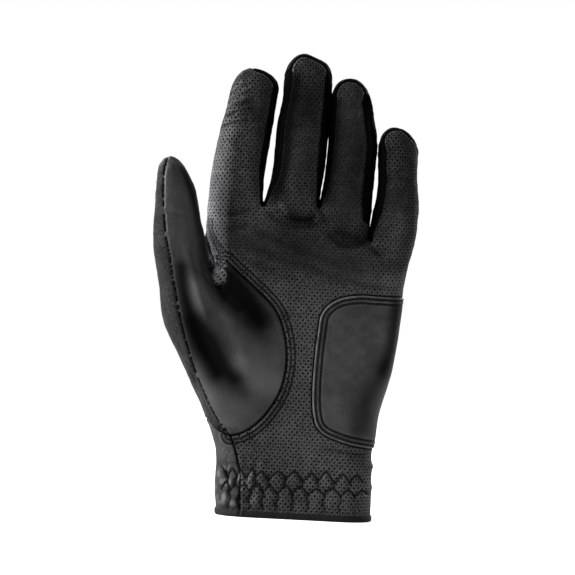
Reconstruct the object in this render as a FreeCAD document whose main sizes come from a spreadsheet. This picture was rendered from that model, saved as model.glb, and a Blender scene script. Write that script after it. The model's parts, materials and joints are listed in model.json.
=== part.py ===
"""Left-hand golf glove, modelled as the separate leather, tape and thread pieces it is sewn from.

Frame: millimetres, origin at the centre of the wrist opening on the plane of the cuff rim,
+Z towards the fingertips, -Y out of the palm, +X towards the little finger.  The glove stands
on its cuff rim with the fingers held open.  "Front" is the palm side, "left" is -X.

Every finger, the thumb and the hand is a closed outer form and a closed inner form one leather
thickness inside it.  Outer minus inner is the hollow glove, which is divided along the seam
lines into panels.  Patches, tapes and the closure tab are layers that follow the hand form.
"""
import FreeCAD
import Part
import math
import os

V = FreeCAD.Vector
Y_AXIS = V(0, 1, 0)

# ------------------------------------------------------------------ driving dimensions
DIMENSIONS = {
    "wall": 0.9,                # leather thickness of every panel
    "joint_gap": 0.30,          # clearance between two panels that fold against each other
    "knuckle_z": 157.0,         # crease at the root of the index, middle and ring fingers
    "little_knuckle_z": 141.0,  # crease at the root of the little finger
    "little_side_x": 31.7,      # gap between the ring and little fingers
    "thumb_crease_z": 130.0,    # crease where the thumb leaves the hand
    "patch_layer": 0.7,         # thickness of the heel patch
    "layer_gap": 0.10,          # clearance between stacked layers
    "elastic_width": 12.0,
    "elastic_z": 12.5,          # lower edge of the wrist elastic
    "elastic_layer": 1.0,
    "binding_width": 4.0,
    "binding_layer": 0.8,
    "slit_x": 3.0,              # centre line of the back opening
    "slit_width": 3.0,
    "slit_top_z": 58.0,         # centre of the slit's round top
    "slit_tape_width": 3.5,
    "loop_length": 26.0,
    "hook_length": 24.0,
    "tab_height": 27.0,
    "tab_low_z": 8.0,
    "tab_hinge_x": -8.0,
    "tab_root_x": -18.0,
    "tab_end_x": 33.0,
    "tab_layer": 1.0,
    "tape_layer": 0.9,          # hook tape and loop tape
    "thread_radius": 0.25,
    "stitch_row_gap": 2.0,      # distance between the two rows of a double seam
    "first_row_inset": 1.3,     # first row in from a patch edge
}

# Base width, thickness, curl of the tip towards the palm, height of the middle joint, and
# stations of (z, left x, right x, thickness factor).
FINGERS = {
    "index": {
        "width": 26.6, "thick": 21.0, "curl": 3.0, "middle_z": 186.0, "root": "knuckle_z",
        "stations": [
            (122, -43.5, -21.5, 0.86), (140, -48.6, -22.8, 0.97), (152, -50.6, -23.6, 1.0),
            (168, -49.3, -23.1, 0.98), (187, -47.1, -21.3, 0.94), (203, -43.9, -19.2, 0.90),
            (214, -40.8, -18.3, 0.84), (220, -37.6, -20.6, 0.66), (223.6, -33.2, -26.2, 0.25)]},
    "middle": {
        "width": 26.0, "thick": 21.0, "curl": 3.5, "middle_z": 189.0, "root": "knuckle_z",
        "stations": [
            (122, -19.5, 5.0, 0.86), (140, -21.4, 5.4, 0.97), (152, -21.6, 5.4, 1.0),
            (168, -20.4, 6.2, 0.98), (187, -18.3, 7.2, 0.94), (206, -16.4, 7.9, 0.90),
            (221, -15.4, 7.7, 0.84), (228, -12.8, 5.2, 0.66), (232.2, -8.6, -0.4, 0.25)]},
    "ring": {
        "width": 25.0, "thick": 20.5, "curl": 3.5, "middle_z": 184.0, "root": "knuckle_z",
        "stations": [
            (118, 8.5, 29.5, 0.86), (137, 6.9, 30.6, 0.97), (152, 6.7, 31.1, 1.0),
            (168, 7.6, 31.9, 0.98), (187, 8.6, 32.5, 0.94), (200, 8.9, 30.9, 0.90),
            (210, 9.2, 29.0, 0.84), (217, 11.2, 26.0, 0.66), (221.1, 15.0, 21.0, 0.25)]},
    "little": {
        "width": 22.6, "thick": 18.5, "curl": 3.0, "middle_z": 166.0, "root": "little_knuckle_z",
        "stations": [
            (106, 29.0, 45.6, 0.80), (126, 31.8, 50.4, 0.96), (137, 32.4, 54.0, 1.0),
            (150, 32.7, 55.0, 1.0), (163, 33.6, 54.7, 0.96), (177, 33.6, 53.2, 0.92),
            (188, 33.8, 52.3, 0.84), (194.2, 36.4, 49.0, 0.66), (197.8, 39.8, 44.6, 0.25)]},
}
CURL_START = 2         # the station where a finger begins to lean
INNER_TIP_SCALE = 0.7  # the inner form's last ellipse, as a share of the outer one

# hand form: z, left x, right x, palm-side depth, back-side depth
HAND = [
    (0.0, -38.9, 38.8, 17.0, 17.0), (14.0, -39.8, 38.9, 16.6, 16.6),
    (32.0, -40.2, 38.2, 16.2, 15.8), (52.0, -42.5, 39.8, 16.4, 15.0),
    (76.0, -44.6, 45.0, 16.2, 14.4), (100.0, -45.2, 48.2, 15.0, 14.0),
    (122.0, -45.6, 49.8, 13.2, 13.2), (137.0, -47.4, 50.6, 11.6, 12.0),
    (152.5, -45.6, 27.5, 7.6, 8.6)]
HAND_ROUNDNESS = 2.6   # superellipse exponent of a hand section
HAND_POINTS = 32

# thumb form: z, centre x, centre y, half width, half thickness
THUMB = [
    (30.0, -24.5, -2.0, 10.5, 6.5), (38.0, -25.5, -3.4, 14.2, 9.0),
    (46.0, -27.4, -5.2, 17.4, 11.4), (56.0, -29.9, -7.0, 20.4, 13.4),
    (66.0, -32.8, -8.1, 21.9, 14.7), (76.0, -36.5, -9.0, 23.2, 15.5),
    (92.0, -43.0, -11.5, 24.8, 15.8), (106.0, -51.6, -13.6, 19.8, 14.6),
    (118.0, -58.6, -15.4, 15.4, 13.2), (130.0, -62.2, -17.0, 13.7, 12.0),
    (145.0, -64.2, -18.6, 12.0, 11.0), (159.0, -66.0, -19.8, 10.2, 9.8),
    (169.0, -68.2, -20.4, 7.6, 7.6), (176.3, -69.6, -20.8, 2.8, 2.8)]
THUMB_POINTS = 20
THUMB_LEAST_RADIUS = 0.6

# seam lines and edges in the XZ plane: x, z
THUMB_OVAL = [
    (-38.0, 126.0), (-33.0, 121.0), (-27.0, 116.0), (-20.0, 110.0), (-15.0, 105.0),
    (-11.5, 99.0), (-9.0, 92.0), (-7.4, 85.0), (-7.0, 79.0), (-7.5, 72.0), (-9.0, 65.0),
    (-12.0, 58.0), (-17.0, 50.0), (-22.0, 45.0), (-28.0, 41.3), (-33.0, 40.0)]
THUMB_SEAM = [
    (-33.0, 40.0), (-40.0, 48.0), (-45.0, 57.0), (-50.0, 68.0), (-54.0, 78.0),
    (-57.2, 87.0), (-60.0, 96.0), (-62.5, 105.0), (-65.0, 116.0), (-66.6, 123.2),
    (-69.6, 140.0), (-71.4, 155.0), (-72.0, 166.0), (-71.6, 180.0)]
BASE_SEAM = THUMB_SEAM[:11]   # beside the hand; overlaps the free part
FREE_SEAM = THUMB_SEAM[9:]    # up the free part of the thumb
HEEL_PATCH_EDGE = [
    (36.0, 112.8), (27.0, 112.8), (18.0, 110.6), (12.0, 106.6), (8.6, 101.5), (7.8, 94.0),
    (7.0, 84.0), (6.5, 70.0), (6.7, 60.0), (7.6, 52.5), (9.4, 47.0), (13.0, 43.2),
    (18.5, 40.8), (26.0, 38.6), (38.0, 36.6)]
HEEL_PATCH_SIDE = [(60.0, 36.6), (60.0, 112.0)]   # corners beyond the edge of the hand
CUFF_SIDE = [
    (-33.0, 40.0), (-30.0, 33.0), (-28.3, 26.0), (-27.2, 20.0), (-27.0, 12.0), (-26.2, -1.0),
    (-60, -1.0), (-60, 34.0), (-44.0, 34.0)]

# limits of the cutting zones
CLEAR_X, CLEAR_Y = 95, 60   # beyond the glove on either side
BACK_Y = 2                  # zones that cut only the back start here
BACK_CLEAR_Y = 40           # beyond the back of the hand
SPLIT_Y = 1.0               # plane where the front and back panels meet

doc = FreeCAD.newDocument("golf_glove")
parts = []


def make_sheet():
    """The spreadsheet of driving dimensions, and its values by alias."""
    sheet = doc.addObject("Spreadsheet::Sheet", "dims")
    table = dict(DIMENSIONS)
    for name, finger in FINGERS.items():
        for key in ("width", "thick", "curl", "middle_z"):
            table["%s_%s" % (name, key)] = finger[key]
    for row, (alias, value) in enumerate(table.items(), 1):
        sheet.set("A%d" % row, repr(float(value)))
        sheet.setAlias("A%d" % row, alias)
    doc.recompute()
    return {alias: float(sheet.get(alias)) for alias in table}


size = make_sheet()
wall = size["wall"]
joint_gap = size["joint_gap"]
layer_gap = size["layer_gap"]


# ------------------------------------------------------------------ helpers
def closed_spline(points):
    curve = Part.BSplineCurve()
    curve.interpolate(points, PeriodicFlag=True)
    return Part.Wire([curve.toShape()])


def hand_section(z, left, right, palm_depth, back_depth, grow):
    """A rounded-oblong section of the hand, as one periodic spline."""
    centre, half_width = (left + right) / 2.0, (right - left) / 2.0 + grow
    points = []
    for i in range(HAND_POINTS):
        angle = 2 * math.pi * i / HAND_POINTS
        cosine, sine = math.cos(angle), math.sin(angle)
        power = HAND_ROUNDNESS
        radius = (abs(cosine) ** power + abs(sine) ** power) ** (-1.0 / power)
        depth = (back_depth if sine > 0 else palm_depth) + grow
        points.append(V(centre + half_width * radius * cosine, depth * radius * sine, z))
    return closed_spline(points)


def hand_form(grow, bottom_shift=0.0, top_shift=0.0):
    """The solid hand, offset by grow, with its end sections moved along Z."""
    rows = [list(row) for row in HAND]
    rows[0][0] += bottom_shift
    rows[-1][0] += top_shift
    return Part.makeLoft([hand_section(*row, grow=grow) for row in rows], True, False)


def thumb_form(grow):
    """The solid thumb, offset by grow all round and at its tip."""
    wires = []
    for z, centre_x, centre_y, half_width, half_depth in THUMB:
        if z == THUMB[-1][0]:
            z += grow
        radius_x = max(THUMB_LEAST_RADIUS, half_width + grow)
        radius_y = max(THUMB_LEAST_RADIUS, half_depth + grow)
        angles = [2 * math.pi * i / THUMB_POINTS for i in range(THUMB_POINTS)]
        wires.append(closed_spline([
            V(centre_x + radius_x * math.cos(a), centre_y + radius_y * math.sin(a), z)
            for a in angles]))
    return Part.makeLoft(wires, True, False)


def prism(points, y0, y1):
    """An outline in the XZ plane, run from y0 to y1."""
    corners = [V(x, y0, z) for x, z in points]
    face = Part.Face(Part.makePolygon(corners + [corners[0]]))
    return face.extrude(V(0, y1 - y0, 0))


def smooth_outline(points, per=6):
    """Points along a spline through the outline, per for each of its spans."""
    curve = Part.BSplineCurve()
    curve.interpolate([V(x, 0, z) for x, z in points])
    count = per * (len(points) - 1)
    start, end = curve.FirstParameter, curve.LastParameter
    run = [curve.value(start + (end - start) * i / count) for i in range(count + 1)]
    return [(point.x, point.z) for point in run]


def box(x0, y0, z0, x1, y1, z1):
    return Part.makeBox(x1 - x0, y1 - y0, z1 - z0, V(x0, y0, z0))


def layer(start, thick, zone):
    """A sheet between two offsets of the hand's outer form, cut to a zone."""
    return hand_form(start + thick).common(zone).cut(hand_form(start))


def shape_object(name, shape):
    item = doc.addObject("Part::Feature", name)
    item.Shape = shape
    return item


def add_part(label, shape, least):
    """A piece of the glove: the solids of the shape with more volume than least."""
    solids = [solid for solid in shape.Solids if solid.Volume > least]
    if not solids:
        raise RuntimeError("%s came out empty" % label)
    item = shape_object(label, solids[0] if len(solids) == 1 else Part.makeCompound(solids))
    item.Placement = FreeCAD.Placement()
    parts.append(item)


def check_states():
    doc.recompute()
    for item in doc.Objects:
        if "Invalid" in item.State or "Error" in item.State:
            raise RuntimeError("%s failed: %s" % (item.Name, item.State))


# ------------------------------------------------------------------ fingers
# Corners of each panel's sector, from the finger's axis, in units of its half width and
# half thickness.
SECTORS = {
    "front": [(0, 0), (-2, -2), (2, -2)],
    "back": [(0, 0), (2, 2), (-2, 2)],
    "left_fourchette": [(0, 0), (-2, 2), (-2, -2)],
    "right_fourchette": [(0, 0), (2, -2), (2, 2)],
}
# the index and little fingers have no fourchette on the outer side of the hand
INDEX_SECTORS = {
    "front": [(0, 0), (-2, 0.6), (-2, -2), (2, -2)],
    "back": [(0, 0), (2, 2), (-2, 2), (-2, 0.6)],
    "right_fourchette": SECTORS["right_fourchette"],
}
LITTLE_SECTORS = {
    "front": [(0, 0), (-2, -2), (2, -2), (2, 0.6)],
    "back": [(0, 0), (2, 0.6), (2, 2), (-2, 2)],
    "left_fourchette": SECTORS["left_fourchette"],
}
FINGER_SECTORS = {"index": INDEX_SECTORS, "middle": SECTORS, "ring": SECTORS,
                  "little": LITTLE_SECTORS}
SLAB_LENGTH, SLAB_WIDTH, SLAB_Y, UPPER_SLAB_HEIGHT = 70, 60, -32, 60
SECTOR_BELOW, SECTOR_ABOVE = 2, 6   # how far a sector runs past its segment


def lean(name, z):
    """Share of the finger's curl reached at height z."""
    stations = FINGERS[name]["stations"]
    root, tip = stations[CURL_START][0], stations[-1][0]
    along = max(0.0, (z - root) / (tip - root))
    return along * along


def finger_form(name, inside):
    """The outer or inner loft of a finger, its ellipses bound to the sheet."""
    finger = FINGERS[name]
    sections = []
    for k, (z, left, right, factor) in enumerate(finger["stations"]):
        inner_tip = inside and k == len(finger["stations"]) - 1
        ending = " * %s" % INNER_TIP_SCALE if inner_tip else " - dims.wall" if inside else ""
        half = (right - left) / 2.0 / finger["width"]
        ellipse = doc.addObject("Part::Ellipse", "%s_%s%d" % (name, "i" if inside else "o", k))
        ellipse.setExpression("MajorRadius", "dims.%s_width * %.6f%s" % (name, half, ending))
        ellipse.setExpression(
            "MinorRadius", "dims.%s_thick * %.6f%s" % (name, factor / 2.0, ending))
        ellipse.Placement = FreeCAD.Placement(V((left + right) / 2.0, 0, z), FreeCAD.Rotation())
        ellipse.setExpression("Placement.Base.y", "-dims.%s_curl * %.6f" % (name, lean(name, z)))
        if inner_tip:
            ellipse.setExpression("Placement.Base.z", "%.4f - dims.wall" % z)
        sections.append(ellipse)
    loft = doc.addObject("Part::Loft", name + ("_inner" if inside else "_outer"))
    loft.Sections, loft.Solid, loft.Ruled = sections, True, False
    return loft


def finger_at(name, z):
    """Centre x, y and half sizes of a finger's outer form at height z."""
    finger = FINGERS[name]
    for low, high in zip(finger["stations"], finger["stations"][1:]):
        if low[0] <= z <= high[0]:
            t = (z - low[0]) / (high[0] - low[0])
            left, right, factor = (low[i] + (high[i] - low[i]) * t for i in (1, 2, 3))
            return ((left + right) / 2, -finger["curl"] * lean(name, z),
                    (right - left) / 2, finger["thick"] * factor / 2)
    raise ValueError(z)


def wedge(name, corners, z0, z1):
    """A ruled sector that follows the finger's lean and keeps the size it has at z0."""
    tip = FINGERS[name]["stations"][-1][0]
    half_width, half_depth = finger_at(name, z0)[2:]
    rings = []
    for z in (z0, z1):
        centre_x, centre_y = finger_at(name, min(z, tip - 0.01))[:2]
        rings.append(Part.makePolygon([
            V(centre_x + half_width * a, centre_y + half_depth * b, z)
            for a, b in corners + [corners[0]]]))
    return Part.makeLoft(rings, True, True)


def segment_slab(name, segment, z0):
    """The box that holds one segment of a finger, between its joints."""
    root_alias = FINGERS[name]["root"]
    slab = doc.addObject("Part::Box", "%s_%s_zone" % (name, segment))
    slab.Length, slab.Width = SLAB_LENGTH, SLAB_WIDTH
    centre_x = finger_at(name, size[name + "_middle_z"])[0]
    slab.Placement = FreeCAD.Placement(
        V(centre_x - SLAB_LENGTH / 2, SLAB_Y, z0), FreeCAD.Rotation())
    if segment == "lower":
        slab.setExpression("Placement.Base.z", "dims.%s + dims.joint_gap" % root_alias)
        slab.setExpression(
            "Height", "dims.%s_middle_z - dims.joint_gap * 1.5 - dims.%s" % (name, root_alias))
    else:
        slab.setExpression("Placement.Base.z", "dims.%s_middle_z + dims.joint_gap / 2" % name)
        slab.Height = UPPER_SLAB_HEIGHT
    return slab


def finger_panels(name, outer, inner):
    """The hollow finger, cut at its middle joint and along its side seams."""
    hollow = doc.addObject("Part::Cut", name + "_hollow")
    hollow.Base, hollow.Tool = outer, inner
    middle = size[name + "_middle_z"]
    tip = FINGERS[name]["stations"][-1][0]
    segments = (("lower", size[FINGERS[name]["root"]] + joint_gap, middle - joint_gap / 2),
                ("upper", middle + joint_gap / 2, tip))
    for segment, z0, z1 in segments:
        slab = segment_slab(name, segment, z0)
        for panel, corners in FINGER_SECTORS[name].items():
            label = "%s_%s_%s" % (name, segment, panel)
            sector = shape_object(
                label + "_sector", wedge(name, corners, z0 - SECTOR_BELOW, z1 + SECTOR_ABOVE))
            common = doc.addObject("Part::MultiCommon", label)
            common.Shapes = [hollow, sector, slab]
            parts.append(common)


finger_forms = {name: (finger_form(name, False), finger_form(name, True)) for name in FINGERS}
check_states()
for name, (outer_loft, inner_loft) in finger_forms.items():
    finger_panels(name, outer_loft, inner_loft)
doc.recompute()

# ------------------------------------------------------------------ hand and thumb
INNER_OVERRUN = 1   # the inner forms run this far past the outer ones, to open the ends
crease = size["thumb_crease_z"]
hand_out = hand_form(0.0)
hand_in = hand_form(-wall, bottom_shift=-INNER_OVERRUN, top_shift=-wall)
thumb_out, thumb_in = thumb_form(0.0), thumb_form(-wall)


def below_thumb_crease(form, top):
    return form.common(box(-90, -CLEAR_Y, 20, 0, 30, top))


thumb_base_out = below_thumb_crease(thumb_out, crease)
thumb_base_in = below_thumb_crease(thumb_in, crease + INNER_OVERRUN)


def hand_shell():
    """The hollow hand with the roots of the fingers and the base of the thumb."""
    roots_out, roots_in = [], []
    for name, (outer_loft, inner_loft) in finger_forms.items():
        top = size[FINGERS[name]["root"]]
        roots_out.append(outer_loft.Shape.common(box(-80, -40, 90, 80, 40, top)))
        roots_in.append(inner_loft.Shape.common(box(-80, -40, 90, 80, 40, top + INNER_OVERRUN)))
    outer = hand_out.fuse(roots_out + [thumb_base_out])
    inner = hand_in.fuse(roots_in + [thumb_base_in])
    top = size["knuckle_z"]
    shell = outer.cut(inner).common(box(-CLEAR_X, -CLEAR_Y, 0, CLEAR_X, CLEAR_Y, top))
    return shell.cut(box(size["little_side_x"], -CLEAR_Y, size["little_knuckle_z"],
                         CLEAR_X, CLEAR_Y, top + 5))


def arched_slot(half_width, bottom, y_end):
    """A round-topped zone on the centre line of the back opening."""
    x, top = size["slit_x"], size["slit_top_z"]
    arch = Part.makeCylinder(half_width, y_end - BACK_Y, V(x, BACK_Y, top), Y_AXIS)
    return box(x - half_width, BACK_Y, bottom, x + half_width, y_end, top).fuse(arch)


slit_half = size["slit_width"] / 2
slit = arched_slot(slit_half, -2, BACK_CLEAR_Y)


def hand_panels(shell):
    """Palm, back and the two thumb base panels, divided along the seam lines."""
    seam = smooth_outline(BASE_SEAM)[1:]
    thumb_front = prism(
        smooth_outline(THUMB_OVAL) + seam
        + [(-69.6, 142.0), (-51.0, 142.0), (-48.6, 132.0), (-46.4, 126.0)],
        -CLEAR_Y, SPLIT_Y)
    left_of_seam = [(-33.0, 40.0)] + seam + [
        (-69.6, 142.0), (-CLEAR_X, 142.0), (-CLEAR_X, 34.0), (-44.0, 34.0)]
    behind_thumb = [
        (-46.6, 126.0), (-48.6, 132.0), (-51.0, 142.0), (-CLEAR_X, 142.0), (-CLEAR_X, 40.0),
        (-46.6, 40.0)]
    thumb_back = prism(left_of_seam, -CLEAR_Y, SPLIT_Y).fuse(
        prism(behind_thumb, SPLIT_Y, BACK_CLEAR_Y))
    cuff_side = prism(CUFF_SIDE, -CLEAR_Y, SPLIT_Y)
    # on the little-finger half the palm panel reaches further round to the back
    front = box(-CLEAR_X, -CLEAR_Y, -1, CLEAR_X, SPLIT_Y, 200).fuse(
        box(0, 0.5, -1, CLEAR_X, 5.0, 200))

    thumb_front_base = shell.common(thumb_front)
    thumb_back_base = shell.common(thumb_back).cut(thumb_front)
    palm = shell.common(front).cut(thumb_front.fuse([thumb_back, cuff_side]))
    back = shell.cut(front.fuse([thumb_front, thumb_back])).fuse(
        shell.common(cuff_side).cut(thumb_front.fuse(thumb_back)))
    back = back.cut(slit)
    add_part("palm_panel", palm, 20)
    add_part("back_panel", back, 20)
    add_part("thumb_front_base", thumb_front_base, 20)
    add_part("thumb_back_base", thumb_back_base, 20)


def free_thumb_panels():
    """The thumb above its crease, split along its seam."""
    split_y = -17.5
    free = thumb_out.cut(thumb_in).common(
        box(-CLEAR_X, -CLEAR_Y, crease + joint_gap, 0, 30, 190))
    front = prism([(-64.5, 112.0)] + smooth_outline(FREE_SEAM) + [(-30, 180.0), (-30, 112.0)],
                  -CLEAR_Y, split_y)
    # on the side towards the fingers the front panel reaches further back
    finger_side = prism([(-62, 100), (-30, 100), (-30, 180), (-66, 180)], split_y - 0.01, -13.0)
    zone = front.fuse(finger_side)
    add_part("thumb_front", free.common(zone), 5)
    add_part("thumb_back", free.cut(zone), 5)


shell = hand_shell()
shape_object("hand_hollow", shell)
hand_panels(shell)
free_thumb_panels()


# ------------------------------------------------------------------ patch, elastic, bindings
def heel_patch():
    """The patch on the little-finger half of the palm."""
    zone = prism(smooth_outline(HEEL_PATCH_EDGE) + HEEL_PATCH_SIDE, -CLEAR_Y, 0.9)
    add_part("heel_patch", layer(layer_gap, size["patch_layer"], zone), 20)


def inner_layer(thick, bottom_shift):
    """A layer of the given thickness just inside the leather."""
    start = -wall - layer_gap
    return hand_form(start).cut(hand_form(start - thick, bottom_shift=bottom_shift))


def wrist_elastic():
    """The elastic inside the palm half of the cuff."""
    low = size["elastic_z"]
    zone = box(-60, -CLEAR_Y, low, 60, -3.0, low + size["elastic_width"])
    add_part("wrist_elastic", inner_layer(size["elastic_layer"], -2.0).common(zone), 20)


def cuff_tapes():
    """The tape along the cuff rim: a strip outside and a facing inside, open at the slit."""
    width, thick = size["binding_width"], size["binding_layer"]
    band = box(-80, -CLEAR_Y, 0.0, 80, CLEAR_Y, width)
    opening = box(size["slit_x"] - slit_half, BACK_Y, -2,
                  size["slit_x"] + slit_half, CLEAR_Y, width + 1)
    outside = hand_form(layer_gap + thick).cut(hand_form(layer_gap))
    add_part("cuff_binding", outside.common(band).cut(opening), 5)
    inside = inner_layer(thick, -1.0)
    add_part("cuff_facing", inside.common(band).cut(opening), 5)


def slit_binding():
    """The tape round the back opening, above the cuff binding."""
    cuff_clearance, thick = 0.3, 0.6
    around = arched_slot(slit_half + size["slit_tape_width"],
                         size["binding_width"] + cuff_clearance, CLEAR_Y)
    add_part("slit_binding", layer(layer_gap, thick, around.cut(slit)), 5)


heel_patch()
wrist_elastic()
cuff_tapes()
slit_binding()

# ------------------------------------------------------------------ closure on the back
tab_low, tab_height = size["tab_low_z"], size["tab_height"]
hinge_x = size["tab_hinge_x"]
nose_radius = tab_height / 2
NOSE_FLATTEN = 0.55   # the tab's round end is squeezed along X by this
nose_x = size["tab_end_x"] - nose_radius * NOSE_FLATTEN
# the loop patch, the hook patch and the tab are stacked outwards
hook_start = layer_gap + size["tape_layer"] + layer_gap
tab_start = hook_start + size["tape_layer"] + layer_gap
tab_outside = tab_start + size["tab_layer"]


def tab_band(x0, x1, margin=0.0):
    """A zone as high as the tab, less a margin above and below."""
    return box(x0, BACK_Y, tab_low + margin, x1, CLEAR_Y, tab_low + tab_height - margin)


def closure():
    """Loop patch, hook patch, tab and the anchor that ties the tab to the back."""
    loop_x = size["slit_x"] + slit_half + size["slit_tape_width"] + 0.4
    hook_x = loop_x + 1.0
    loop_zone = tab_band(loop_x, loop_x + size["loop_length"] - 2, margin=1.5)
    hook_zone = tab_band(hook_x, hook_x + size["hook_length"] - 3, margin=3.0)
    add_part("loop_patch", layer(layer_gap, size["tape_layer"], loop_zone), 5)
    add_part("hook_patch", layer(hook_start, size["tape_layer"], hook_zone), 5)

    nose = Part.makeCylinder(nose_radius, CLEAR_Y - BACK_Y, V(0, BACK_Y, 0), Y_AXIS)
    nose = nose.transformGeometry(FreeCAD.Matrix(
        NOSE_FLATTEN, 0, 0, nose_x,
        0, 1, 0, 0,
        0, 0, 1, tab_low + nose_radius,
        0, 0, 0, 1))
    tab_zone = tab_band(hinge_x + joint_gap / 2, nose_x).fuse(nose)
    add_part("closure_tab", layer(tab_start, size["tab_layer"], tab_zone), 5)
    anchor_zone = tab_band(size["tab_root_x"], hinge_x - joint_gap / 2)
    add_part("tab_anchor", layer(layer_gap, tab_outside - layer_gap, anchor_zone), 5)


closure()

# ------------------------------------------------------------------ sewing thread
thread_lift = size["thread_radius"] + 0.15   # thread centre above the surface


def surface_y(form, x, z, front):
    """Y of the outermost point of a form's front or back at (x, z), or None."""
    line = Part.Line(V(x, -60, z), V(x, 60, z))
    best = None
    for face in form.Faces:
        bounds = face.BoundBox
        if not (bounds.XMin - 0.1 <= x <= bounds.XMax + 0.1
                and bounds.ZMin - 0.1 <= z <= bounds.ZMax + 0.1):
            continue
        if bounds.ZMax - bounds.ZMin < 0.01:   # a flat end
            continue
        hits = line.intersectCS(face.Surface)
        for hit in (hits[0] if hits else []):
            point = V(hit.X, hit.Y, hit.Z)
            if abs(point.z - z) > 0.01 or abs(point.y) > 45:
                continue
            if (point.y < 0) != front:
                continue
            if not face.isPartOfDomain(*face.Surface.parameter(point)):
                continue
            if best is None or abs(point.y) > abs(best):
                best = point.y
    return best


def thread(form, run, front):
    """A round thread along a run of (x, z), held clear of the form it lies on."""
    points = []
    for x, z in run:
        y = surface_y(form, x, z, front)
        if y is not None:
            points.append(V(x, y - thread_lift if front else y + thread_lift, z))
    curve = Part.BSplineCurve()
    curve.interpolate(points)
    direction = curve.tangent(curve.FirstParameter)[0]
    profile = Part.Wire([Part.Circle(points[0], direction, size["thread_radius"]).toShape()])
    return Part.Wire([curve.toShape()]).makePipeShell([profile], True, True)


def offset_line(run, distance):
    """The run moved sideways, to its left with +X right and +Z up."""
    moved = []
    for i, (x, z) in enumerate(run):
        before, after = run[max(0, i - 1)], run[min(len(run) - 1, i + 1)]
        along_x, along_z = after[0] - before[0], after[1] - before[1]
        length = math.hypot(along_x, along_z) or 1.0
        moved.append((x - along_z / length * distance, z + along_x / length * distance))
    return moved


def double_row(label, form, run, inset):
    """Two parallel rows of thread on the palm side, the first one inset from the run."""
    rows = [thread(form, offset_line(run, distance), True)
            for distance in (inset, inset + size["stitch_row_gap"])]
    add_part(label, Part.makeCompound(rows), 0.1)


def cuff_zigzag():
    """Two zigzag rows across the palm side of the cuff, made of separate straight legs."""
    start_x, step, needle_holes = -24.7, 3.8, 14
    row_centres, half_height = (21.3, 15.2), 2.2
    lift, end_gap = 0.35, 0.5
    legs = []
    for centre in row_centres:
        holes = []
        for i in range(needle_holes):
            x = start_x + step * i
            z = centre + (half_height if i % 2 else -half_height)
            holes.append(V(x, surface_y(hand_out, x, z, True) - lift, z))
        for start, end in zip(holes, holes[1:]):
            direction = end - start
            length = direction.Length
            direction.normalize()
            legs.append(Part.makeCylinder(size["thread_radius"], length - 2 * end_gap,
                                          start + direction * end_gap, direction))
    add_part("cuff_zigzag_thread", Part.makeCompound(legs), 0.1)


def tab_thread():
    """One row round the free edge of the closure tab."""
    inset_x, inset_z = 1.6, 1.8
    arc_steps = 24
    straight = [hinge_x + 2.0 + i * 4.0 for i in range(8)]
    arc = []
    for k in range(arc_steps + 1):
        angle = math.pi / 2 - math.pi * k / arc_steps
        arc.append((nose_x + (nose_radius * NOSE_FLATTEN - inset_x) * math.cos(angle),
                    tab_low + nose_radius + (nose_radius - inset_z) * math.sin(angle)))
    run = ([(x, tab_low + tab_height - inset_z) for x in straight] + arc
           + [(x, tab_low + inset_z) for x in reversed(straight)])
    add_part("closure_tab_thread", thread(hand_form(tab_outside), run, False), 0.1)


thumb_run = smooth_outline(THUMB_OVAL, per=3)[3:-6]
double_row("thumb_seam_thread", hand_out.fuse([thumb_base_out]), thumb_run, 1.6)
patch_run = [point for point in smooth_outline(HEEL_PATCH_EDGE, per=3) if point[0] < 36.0]
double_row("heel_patch_thread", hand_form(layer_gap + size["patch_layer"]), patch_run,
           size["first_row_inset"])
cuff_zigzag()
tab_thread()


# ------------------------------------------------------------------ check and write
def export_parts():
    os.makedirs("parts", exist_ok=True)
    for old in os.listdir("parts"):
        if old.endswith(".step"):
            os.remove(os.path.join("parts", old))
    for item in parts:
        shape = item.Shape
        if shape.isNull() or not shape.isValid() or not shape.Solids:
            raise RuntimeError("%s has no valid solid" % item.Label)
        if any(solid.Volume <= 0 for solid in shape.Solids):
            raise RuntimeError("%s has a solid with no volume" % item.Label)
        shape.exportStep("parts/%s.step" % item.Label)


check_states()
export_parts()
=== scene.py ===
import json
import math
import time

import bpy
import numpy as np
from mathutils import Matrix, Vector
from mathutils.bvhtree import BVHTree
from mathutils.kdtree import KDTree

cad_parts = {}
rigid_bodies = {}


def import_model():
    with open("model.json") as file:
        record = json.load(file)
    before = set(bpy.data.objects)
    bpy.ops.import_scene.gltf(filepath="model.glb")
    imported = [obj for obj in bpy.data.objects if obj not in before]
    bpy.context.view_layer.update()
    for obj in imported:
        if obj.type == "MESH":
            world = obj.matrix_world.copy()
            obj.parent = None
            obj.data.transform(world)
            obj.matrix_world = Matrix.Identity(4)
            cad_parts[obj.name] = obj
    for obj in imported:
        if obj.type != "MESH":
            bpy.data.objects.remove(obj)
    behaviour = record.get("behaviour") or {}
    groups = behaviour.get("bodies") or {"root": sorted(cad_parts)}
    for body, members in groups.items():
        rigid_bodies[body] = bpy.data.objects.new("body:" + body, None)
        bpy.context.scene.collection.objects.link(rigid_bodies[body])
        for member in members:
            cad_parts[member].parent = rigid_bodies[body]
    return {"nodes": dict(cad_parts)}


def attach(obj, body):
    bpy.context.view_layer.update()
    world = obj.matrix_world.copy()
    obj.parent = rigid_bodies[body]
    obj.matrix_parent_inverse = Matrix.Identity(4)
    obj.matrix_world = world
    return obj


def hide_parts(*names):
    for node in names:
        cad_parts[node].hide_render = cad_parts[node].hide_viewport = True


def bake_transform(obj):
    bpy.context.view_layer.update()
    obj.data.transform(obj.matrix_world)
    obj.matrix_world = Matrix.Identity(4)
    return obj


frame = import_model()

for stray in [o for o in bpy.data.objects if o.name in ("Cube", "Light", "Camera")]:
    bpy.data.objects.remove(stray, do_unlink=True)

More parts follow.
